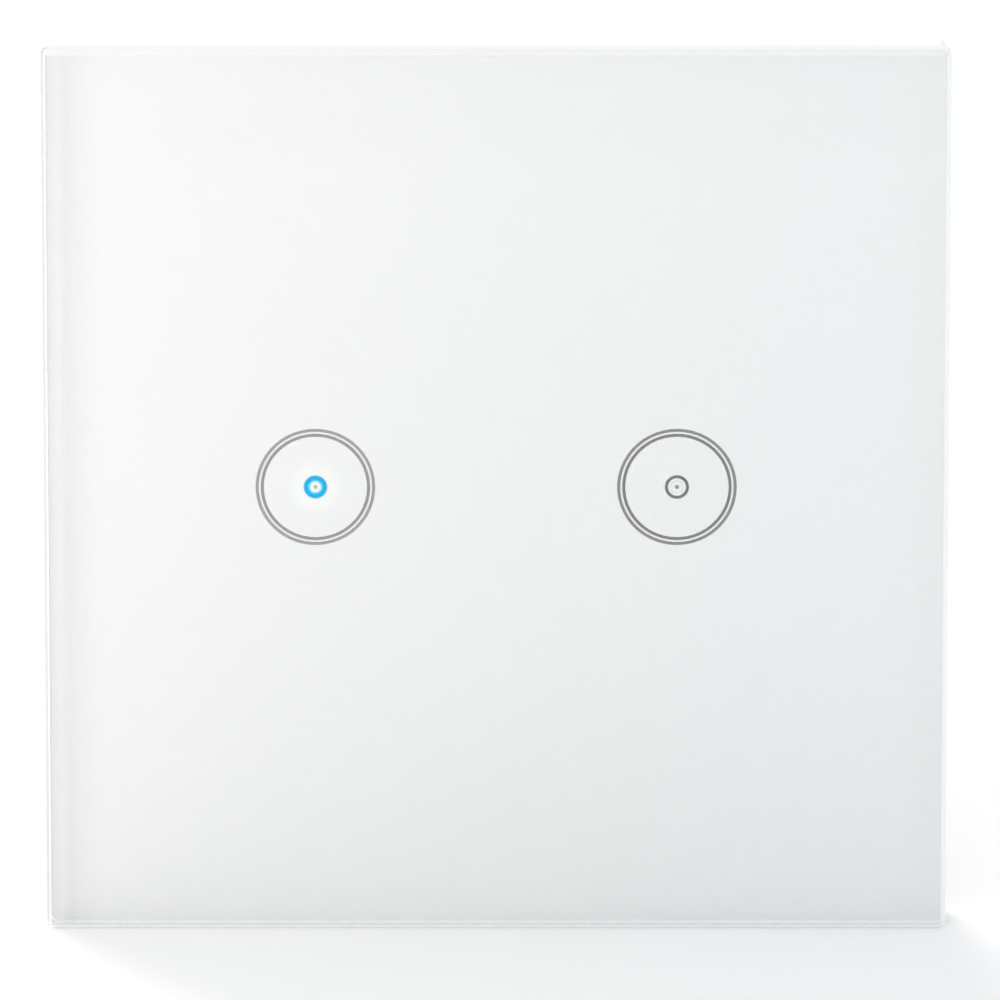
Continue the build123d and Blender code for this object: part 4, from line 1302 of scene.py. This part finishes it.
def finish_piece(piece: bpy.types.Object, body: str, slot: str, *replaced: str) -> None:
    """Attaches a new piece to the body that carries it, and hides the frame pieces that it
    replaces.

    Args:
        piece: The new piece.
        body: The frame's body that carries it.
        slot: Not used.
        *replaced: Frame pieces that it replaces.
    """
    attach(piece, body)
    if replaced:
        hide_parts(*replaced)
    log.info("%s rides on %s with %d faces", piece.name, body, len(piece.data.polygons))


def square_ring(half: float, corner: float, depth: float, steps: int = 10) -> list[Place]:
    """Points round a square with rounded corners, parallel to the wall.

    Args:
        half: Half the width of the square.
        corner: Radius of its corners.
        depth: Its depth.
        steps: How many steps each corner has.

    Returns:
        The points, anticlockwise as seen from the room.
    """
    points = []
    for quarter in range(4):
        middle_angle = math.pi / 4 + quarter * math.pi / 2
        centre_x = math.copysign(half - corner, math.cos(middle_angle))
        centre_z = math.copysign(half - corner, math.sin(middle_angle))
        for step in range(steps + 1):
            angle = (quarter + step / steps) * math.pi / 2
            points.append(
                (centre_x + corner * math.cos(angle), depth, centre_z + corner * math.sin(angle))
            )
    return points


def loft(name: str, rings: list[list[Place]]) -> bpy.types.Object:
    """Joins rings of as many points each into a closed solid.

    Args:
        name: Name of the piece.
        rings: The rings, from the rear to the room.

    Returns:
        The piece.
    """
    count = len(rings[0])
    points = [tuple(part * MM for part in point) for ring in rings for point in ring]
    faces = [tuple(range(count))[::-1], tuple(range(len(points) - count, len(points)))]
    for ring in range(len(rings) - 1):
        start = ring * count
        for step in range(count):
            after = (step + 1) % count
            faces.append((start + step, start + after, start + count + after, start + count + step))
    mesh = bpy.data.meshes.new(name)
    mesh.from_pydata(points, [], faces)
    return link(bpy.data.objects.new(name, mesh))


@dataclass
class GlassFront:
    """The glass panel and what is printed behind it.

    Attributes:
        chamfer: Width of the polished chamfer in front.
        rear_seam: Width of the fine seam behind.
        corner: Radius of the corners.
        air: Gap between the pane and the print.
        flat: Least share of a face's normal along the depth for it to be the front or the rear.
        print_white: White of the print.
        window_white: White of the two windows.
    """

    chamfer: float = 0.5
    rear_seam: float = 0.3
    corner: float = 0.7
    air: float = 0.015
    flat: float = 0.9
    print_white: Colour = (0.772, 0.765, 0.754)
    window_white: Colour = (0.776, 0.775, 0.767)

    def build(self) -> None:
        """Makes the pane, with polished chamfers in front and a fine seam behind."""
        low, high = box("glass_panel")
        half, rear, front = high.x, high.y - self.air, low.y
        rings = [
            square_ring(half - self.rear_seam, self.corner - self.rear_seam, rear),
            square_ring(half, self.corner, rear - self.rear_seam),
            square_ring(half, self.corner, front + self.chamfer),
            square_ring(half - self.chamfer, self.corner - self.chamfer, front),
        ]
        pane = loft("glass_pane", rings)
        sheet = ClearSheet("float_glass", (0.992, 0.996, 0.994), 0.0)
        edge = PolishedEdge(
            "polished_edge",
            (0.88, 0.89, 0.885),
            0.2,
            coat=0.5,
            half=half,
            chamfer=self.chamfer,
            front=front + self.chamfer,
            rear=rear - self.rear_seam,
        )
        for finish in (sheet, edge):
            pane.data.materials.append(finish.material())
        for face in pane.data.polygons:
            face.material_index = 0 if abs(face.normal.y) > self.flat else 1
        finish_piece(pane, "front_panel", "clear_glass", "glass_panel")

    def dress(self) -> None:
        """Finishes the print, the rings, the two indicators and the tape."""
        left, right = (middle(f"light_window_{gang.value}").x for gang in Gang)
        white = PanelPrint(
            "screen_print", self.print_white, 0.5, mottle=0.004, lamp_x=left, dark_x=right
        )
        paint(white, "panel_print")
        rings = RingPrint("ring_print", self.print_white, 0.5, left_x=left, right_x=right)
        paint(rings, "touch_ring_marks")
        for gang, x in ((Gang.LEFT, left), (Gang.RIGHT, right)):
            window = IndicatorPrint(
                f"window_{gang.value}", self.window_white, 0.4, centre_x=x, lit=gang is Gang.LEFT
            )
            paint(window, f"light_window_{gang.value}")
        paint(FOAM_TAPE, "adhesive_frame")
        log.info("glass front dressed, indicators at %.1f and %.1f", left, right)


@dataclass
class TouchUnit:
    """The moulded frame behind the glass and the touch board on its bosses.

    Attributes:
        shapes: The trees that repeat things.
        screw: Size of the screws that hold the board.
        pins: How many pins the plug has.
        pin_width: Width of a pin.
        wire_radius: Radius of the touch springs' wire.
        leg_joint: Sizes of the solder joint on a spring's leg.
        part_rows: For each row of small parts, where it starts across and up, its step across
            and how many parts it has.
        pads: How many pads each edge of the module has.
        pad_inset: How far in from the edge a pad's middle is.
        pad_first: Height of the first pad's middle above the module's foot.
        pad_pitch: Spacing of the pads.
        pad_size: Sizes of a pad.
        aerial_turns: How many turns the aerial has.
        aerial_inset: How far in from the module's edge the aerial starts.
        aerial_reach: How far below the module's top and above the shield the aerial turns.
        aerial_width: Width of its track.
        aerial_height: How far the track stands proud.
        chip_lead: Length of the chip's leads.
    """

    shapes: Shapes
    screw: ScrewSize = replace(BOARD_SCREW, turn=Facing.WALL.value)
    pins: int = 6
    pin_width: float = 0.64
    wire_radius: float = 0.25
    leg_joint: tuple[tuple[str, float], ...] = (
        ("Foot", 0.75),
        ("Top", 0.26),
        ("Height", 0.6),
        ("Turn", Facing.WALL.value),
    )
    part_rows: tuple[tuple[float, float, float, int], ...] = (
        (-12.6, -11.6, 3.15, 9),
        (-19.6, 1.2, 2.6, 4),
        (11.8, 1.2, 2.6, 4),
        (-8.0, 18.6, 3.2, 6),
    )
    pads: int = 6
    pad_inset: float = 0.3
    pad_first: float = 1.6
    pad_pitch: float = 2.0
    pad_size: tuple[tuple[str, float], ...] = (("Across", 0.7), ("Through", 0.88))
    aerial_turns: int = 7
    aerial_inset: float = 1.5
    aerial_reach: Span = (0.6, 0.4)
    aerial_width: float = 0.25
    aerial_height: float = 0.03
    chip_lead: float = 1.0

    def build(self) -> None:
        """Makes the screws, the solder joints and the small parts."""
        self.build_screws()
        self.build_joints()
        self.build_parts()
        self.build_pads()
        self.build_aerial()

    def build_screws(self) -> None:
        """Makes the four screws that hold the board to the frame."""
        low, high = box("touch_board_screws")
        seat = high.y - self.screw.head_height
        reach = high.x - self.screw.head_radius
        places = [(x, seat, z) for x in (-reach, reach) for z in (-reach, reach)]
        size = replace(self.screw, length=seat - low.y)
        screws = self.shapes.screw.drive("board_screws", places, size)
        finish_piece(screws, "front_panel", "screw_steel", "touch_board_screws")

    def build_joints(self) -> None:
        """Makes the solder joints of the plug's pins and of the touch springs."""
        board_low, board_high = box("touch_board")
        pin_low, pin_high = box("plug_header_pins")
        first = pin_low.x + self.pin_width / 2
        pitch = (pin_high.x - pin_low.x - self.pin_width) / (self.pins - 1)
        height = (pin_low.z + pin_high.z) / 2
        plug = [(first + pitch * number, board_low.y, height) for number in range(self.pins)]
        legs = []
        for gang in Gang:
            spring_right = box(f"touch_spring_{gang.value}")[1].x
            legs.append((spring_right - self.wire_radius, board_high.y, 0.0))
        for name, places, sizes in (
            ("plug_joints", plug, {}),
            ("spring_joints", legs, dict(self.leg_joint)),
        ):
            joints = self.shapes.joint.grow(name, places, sizes, {"Metal": SOLDER})
            finish_piece(joints, "front_panel", "screw_steel")

    def build_parts(self) -> None:
        """Makes rows of small resistors and capacitors on the rear of the board."""
        rear = box("touch_board")[1].y
        places = [
            (start_x + step * number, rear, start_z)
            for start_x, start_z, step, count in self.part_rows
            for number in range(count)
        ]
        for name, spots, body in (
            ("board_capacitors", places[::2], CHIP_CERAMIC),
            ("board_resistors", places[1::2], BLACK_PLASTIC),
        ):
            parts = self.shapes.chip.grow(name, spots, {}, {"Body": body, "Ends": SOLDER})
            finish_piece(parts, "front_panel", "screw_steel")

    def build_pads(self) -> None:
        """Makes the plated edges of the wireless module."""
        low, high = box("wifi_module_board")
        places = [
            (x, (low.y + high.y) / 2, low.z + self.pad_first + self.pad_pitch * number)
            for x in (low.x + self.pad_inset, high.x - self.pad_inset)
            for number in range(self.pads)
        ]
        sizes = dict(self.pad_size)
        pads = self.shapes.pad.grow("module_pads", places, sizes, {"Metal": PIN_GOLD})
        finish_piece(pads, "front_panel", "pin_metal")

    def build_aerial(self) -> None:
        """Makes the wireless module's aerial, a track that winds up and down over its top."""
        low, high = box("wifi_module_board")
        top = high.z - self.aerial_reach[0]
        foot = box("wifi_module_shield")[1].z + self.aerial_reach[1]
        runs = 2 * self.aerial_turns
        step = (high.x - low.x - 2 * self.aerial_inset) / runs
        path = []
        for run in range(runs + 1):
            x = low.x + self.aerial_inset + step * run
            heights = (foot, top) if run % 2 == 0 else (top, foot)
            path.extend((x, high.y, z) for z in heights)
        aerial = strip("module_aerial", path, self.aerial_width, self.aerial_height)
        aerial.data.materials.append(PIN_GOLD.material())
        finish_piece(aerial, "front_panel", "pin_metal")

    def dress(self) -> None:
        """Finishes the frame and what stands on the board."""
        paint(WHITE_PLASTIC, "panel_frame")
        paint(TOUCH_LACQUER, "touch_board")
        paint(MODULE_LACQUER, "wifi_module_board")
        paint(SHIELD_METAL, "wifi_module_shield")
        paint(BLACK_PLASTIC, "plug_header_strip")
        paint(PIN_GOLD, "plug_header_pins")
        low, high = box("touch_controller_chip")
        chip_z = middle("touch_controller_chip").z
        half = (high.z - low.z) / 2 - self.chip_lead
        body = Leaded(
            "chip_body", (0.02, 0.02, 0.022), 0.5, axis=Axis.UP, middle=chip_z, half=half
        )
        paint(body, "touch_controller_chip")
        for gang in Gang:
            paint(SPRING_STEEL, f"touch_spring_{gang.value}")
            paint(CLEAR_ACRYLIC, f"light_guide_{gang.value}")
            paint(LAMP_FACE, f"indicator_led_{gang.value}")
        log.info("touch unit dressed")


RUN_CORNERS = ((0, 0), (1, 0), (1, 1), (0, 1))
RUN_FACES = (
    (0, 1, 2, 3),
    (7, 6, 5, 4),
    (0, 4, 5, 1),
    (1, 5, 6, 2),
    (2, 6, 7, 3),
    (3, 7, 4, 0),
)


def strip(name: str, path: list[Place], width: float, height: float) -> bpy.types.Object:
    """A flat strip on the rear of a board, along a path of runs at right angles.

    Args:
        name: Name of the piece.
        path: Its corners.
        width: Width of the strip.
        height: How far it stands proud.

    Returns:
        The piece.
    """
    points, faces = [], []
    for start, end in zip(path, path[1:]):
        low = [min(a, b) for a, b in zip(start, end)]
        high = [max(a, b) for a, b in zip(start, end)]
        first = len(points)
        for y in (low[1], low[1] + height):
            for x, z in RUN_CORNERS:
                across = high[0] + width / 2 if x else low[0] - width / 2
                up = high[2] + width / 2 if z else low[2] - width / 2
                points.append((across * MM, y * MM, up * MM))
        for face in RUN_FACES:
            faces.append(tuple(first + corner for corner in face))
    mesh = bpy.data.meshes.new(name)
    mesh.from_pydata(points, [], faces)
    return link(bpy.data.objects.new(name, mesh))


@dataclass
class WallBase:
    """The mounting plate, the housing in the wall box and its lid.

    Attributes:
        shapes: The trees that repeat things.
        flange_screw: Size of the screws that hold the housing's flange.
        lid_screw: Size of the screws that hold the lid.
    """

    shapes: Shapes
    flange_screw: ScrewSize = FLANGE_SCREW
    lid_screw: ScrewSize = BOARD_SCREW

    def build(self) -> None:
        """Makes the screws of the flange and of the lid."""
        low, high = box("housing_screws")
        reach = high.x - self.flange_screw.head_radius
        seat = low.y + self.flange_screw.head_height
        places = [(x, seat, z) for x in (-reach, reach) for z in (-reach, reach)]
        size = replace(self.flange_screw, length=high.y - seat)
        screws = self.shapes.screw.drive("flange_screws", places, size)
        finish_piece(screws, "base", "screw_steel", "housing_screws")
        low, high = box("lid_screws")
        radius = self.lid_screw.head_radius
        seat = low.y + self.lid_screw.head_height
        places = [(0.0, seat, z) for z in (low.z + radius, high.z - radius)]
        size = replace(self.lid_screw, length=high.y - seat)
        screws = self.shapes.screw.drive("cover_screws", places, size)
        finish_piece(screws, "base", "screw_steel", "lid_screws")

    def dress(self) -> None:
        """Finishes the plate, the housing and the lid."""
        paint(PLATE_STEEL, "mounting_plate")
        paint(HOUSING_PLASTIC, "rear_housing", "housing_lid")
        log.info("wall base dressed")


@dataclass
class Terminals:
    """The terminal block with its screws, rising cages and contact bars.

    Attributes:
        shapes: The trees that repeat things.
        count: How many terminals there are.
        screw: Size of a clamp's screw, without its head's radius and its length.
    """

    shapes: Shapes
    count: int = 4
    screw: ScrewSize = CLAMP_SCREW

    def build(self) -> None:
        """Makes each terminal's screw, on its own body."""
        for number in range(1, self.count + 1):
            node = f"terminal_screw_{number}"
            low, high = box(node)
            centre = middle(node)
            seat = high.y - self.screw.head_height
            head_radius = (high.x - low.x) / 2
            size = replace(self.screw, head_radius=head_radius, length=seat - low.y)
            places = [(centre.x, seat, centre.z)]
            screw = self.shapes.screw.drive(f"clamp_screw_{number}", places, size)
            finish_piece(screw, node, "screw_steel", node)

    def dress(self) -> None:
        """Finishes the block, the bars and the cages."""
        paint(TERMINAL_PLASTIC, "terminal_block")
        paint(CONTACT_BRASS, "contact_bars")
        paint(CAGE_METAL, *(f"terminal_cage_{number}" for number in range(1, self.count + 1)))
        log.info("terminals dressed")


@dataclass
class PowerUnit:
    """The power board and the parts of the supply that stand on it.

    Attributes:
        capacitor_radius: Radius of a round capacitor.
        disc_shift: How far the varistor's disc stands off the middle of disc and leads.
        disc_half: Half the disc's width.
        fuse_half: Half the length of the fuse resistor's body.
        fuse_band: Spacing of its colour bands.
        rectifier_half: Half the length of the rectifier's body.
    """

    capacitor_radius: float = 4.0
    disc_shift: float = 0.5
    disc_half: float = 3.6
    fuse_half: float = 4.5
    fuse_band: float = 1.7
    rectifier_half: float = 1.95

    def dress(self) -> None:
        """Finishes the board and its parts."""
        paint(POWER_LACQUER, "power_board")
        paint(BLACK_PLASTIC, "socket_header")
        paint(FERRITE, "transformer_core")
        paint(YELLOW_TAPE, "transformer_winding")
        paint(YELLOW_BOX, "suppression_capacitor")
        paint(self.sleeve(), "bulk_capacitors")
        disc = Leaded(
            "dipped_disc",
            (0.02, 0.09, 0.3),
            0.35,
            axis=Axis.DEPTH,
            middle=middle("varistor").y + self.disc_shift,
            half=self.disc_half,
            coat=0.4,
        )
        paint(disc, "varistor")
        lacquer = Leaded(
            "banded_lacquer",
            (0.1, 0.3, 0.2),
            0.5,
            axis=Axis.ACROSS,
            middle=middle("fuse_resistor").x,
            half=self.fuse_half,
            band=self.fuse_band,
            coat=0.2,
        )
        paint(lacquer, "fuse_resistor")
        body = Leaded(
            "rectifier_body",
            (0.02, 0.02, 0.022),
            0.5,
            axis=Axis.UP,
            middle=middle("bridge_rectifier").z,
            half=self.rectifier_half,
        )
        paint(body, "bridge_rectifier")
        log.info("power unit dressed")

    def sleeve(self) -> Sleeved:
        """The finish of the two round capacitors, fitted to their places."""
        low, high = box("bulk_capacitors")
        radius = self.capacitor_radius
        return Sleeved(
            "shrunk_sleeve",
            (0.012, 0.016, 0.05),
            0.3,
            depth=0.15,
            top=high.y,
            centre_x=(low.x + high.x) / 2,
            centres_z=(low.z + radius, high.z - radius),
        )


@dataclass
class Relay:
    """One relay under its cover.

    Attributes:
        gang: The gang that it switches.
    """

    gang: Gang

    def dress(self) -> None:
        """Finishes each piece of the relay."""
        finishes = {
            "base": BLACK_PLASTIC,
            "cover": RELAY_PLASTIC,
            "yoke": SOFT_IRON,
            "bobbin": BOBBIN_PLASTIC,
            "winding": COPPER_WIRE,
            "fixed_contact": CONTACT_BRASS,
            "armature": LEAF_BRONZE,
        }
        for piece, finish in finishes.items():
            paint(finish, f"relay_{self.gang.value}_{piece}")
        log.info("relay %s dressed", self.gang.value)


@dataclass
class Studio:
    """White floor, even light and the camera of the photograph.

    Attributes:
        elevation: How far above the panel's middle the camera looks down from, in degrees.
        distance: Distance of the camera from the panel's face, in metres.
        lens: Focal length.
        sensor: Width of the sensor.
        shift: Shift of the picture across and up, as shares of its width.
        clip: Nearest and furthest distance that the camera sees, in metres.
        sky: Colour of the light from all round.
        key_energy: Strength of the light from behind and above on the left.
        key_colour: Its colour.
        key_turn: Its direction, as a rotation in degrees.
        key_angle: How wide it is, in degrees.
        soft_boxes: Strength, colour and place, in metres, of each soft box before the panel.
        soft_size: Width of a soft box, in metres.
        floor_half: Half the width of the floor, in metres.
        floor_tones: Darkest and lightest grey of the floor.
        floor_patch: Size of the patches that its grey wanders in.
    """

    elevation: float = 13.9
    distance: float = 1.347
    lens: float = 510.5
    sensor: float = 36.0
    shift: Span = (0.0038, -0.0067)
    clip: Span = (0.05, 20.0)
    sky: Colour = (0.852, 0.852, 0.851)
    key_energy: float = 1.2
    key_colour: Colour = (1.0, 0.95, 0.92)
    key_turn: tuple[float, float, float] = (-43.0, -21.0, 0.0)
    key_angle: float = 26.0
    soft_boxes: tuple[tuple[float, Colour, Place], ...] = (
        (0.243, (1.0, 1.0, 1.0), (-0.22, -0.16, 0.02)),
        (0.073, (1.0, 1.0, 1.0), (0.0, -0.35, 0.03)),
        (0.052, (0.28, 0.6, 1.0), (0.14, -0.1, -0.03)),
    )
    soft_size: float = 0.12
    floor_half: float = 3.0
    floor_tones: Span = (0.93, 0.95)
    floor_patch: float = 60.0

    def build(self) -> None:
        """Makes the floor, the lights and the camera."""
        self.build_floor()
        self.build_lights()
        self.build_camera()

    def build_floor(self) -> None:
        """Makes the floor that the panel stands on."""
        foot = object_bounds()[0][2]
        half = self.floor_half
        corners = [(x * half, y * half, foot) for x, y in ((-1, -1), (1, -1), (1, 1), (-1, 1))]
        mesh = bpy.data.meshes.new("floor")
        mesh.from_pydata(corners, [], [(0, 1, 2, 3)])
        floor = link(bpy.data.objects.new("floor", mesh))
        surface = Surface("white_paper")
        dark, light = ((tone, tone, tone) for tone in self.floor_tones)
        surface.set(
            Base_Color=surface.mix(surface.noise(self.floor_patch), dark, light),
            Roughness=0.9,
            Specular_IOR_Level=0.0,
        )
        mesh.materials.append(surface.material)
        floor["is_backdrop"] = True

    def build_lights(self) -> None:
        """Makes the light from all round, the key light and the soft boxes."""
        world = bpy.data.worlds.new("studio")
        world.use_nodes = True
        world.node_tree.nodes["Background"].inputs["Color"].default_value = opaque(self.sky)
        bpy.context.scene.world = world
        key = bpy.data.lights.new("key_light", "SUN")
        key.energy = self.key_energy
        key.color = self.key_colour
        key.angle = math.radians(self.key_angle)
        key_light = link(bpy.data.objects.new("key_light", key))
        key_light.rotation_euler = [math.radians(turn) for turn in self.key_turn]
        for energy, colour, place in self.soft_boxes:
            soft = bpy.data.lights.new("soft_box", "AREA")
            soft.energy = energy
            soft.color = colour
            soft.size = self.soft_size
            box_light = link(bpy.data.objects.new("soft_box", soft))
            box_light.location = place
            box_light.rotation_euler = (-box_light.location).to_track_quat("-Z", "Y").to_euler()
            box_light.visible_camera = False

    def build_camera(self) -> None:
        """Makes the camera of the photograph."""
        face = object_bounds()[0][1]
        angle = math.radians(self.elevation)
        away = Vector((0, -math.cos(angle), math.sin(angle)))
        lens = bpy.data.cameras.new("camera")
        lens.lens = self.lens
        lens.sensor_width = self.sensor
        lens.shift_x, lens.shift_y = self.shift
        lens.clip_start, lens.clip_end = self.clip
        camera = link(bpy.data.objects.new("camera", lens))
        camera.location = Vector((0, face, 0)) + away * self.distance
        camera.rotation_euler = (-away).to_track_quat("-Z", "Y").to_euler()
        scene = bpy.context.scene
        scene.camera = camera
        scene.view_settings.view_transform = "Standard"
        scene.view_settings.look = "None"


def main() -> None:
    """Builds the switch round the frame, then the studio."""
    logging.basicConfig(level=logging.INFO, format="%(message)s")
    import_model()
    shapes = Shapes()
    for part in (GlassFront(), TouchUnit(shapes), WallBase(shapes), Terminals(shapes)):
        part.build()
        part.dress()
    PowerUnit().dress()
    for gang in Gang:
        Relay(gang).dress()
    Studio().build()


if __name__ == "__main__":
    main()
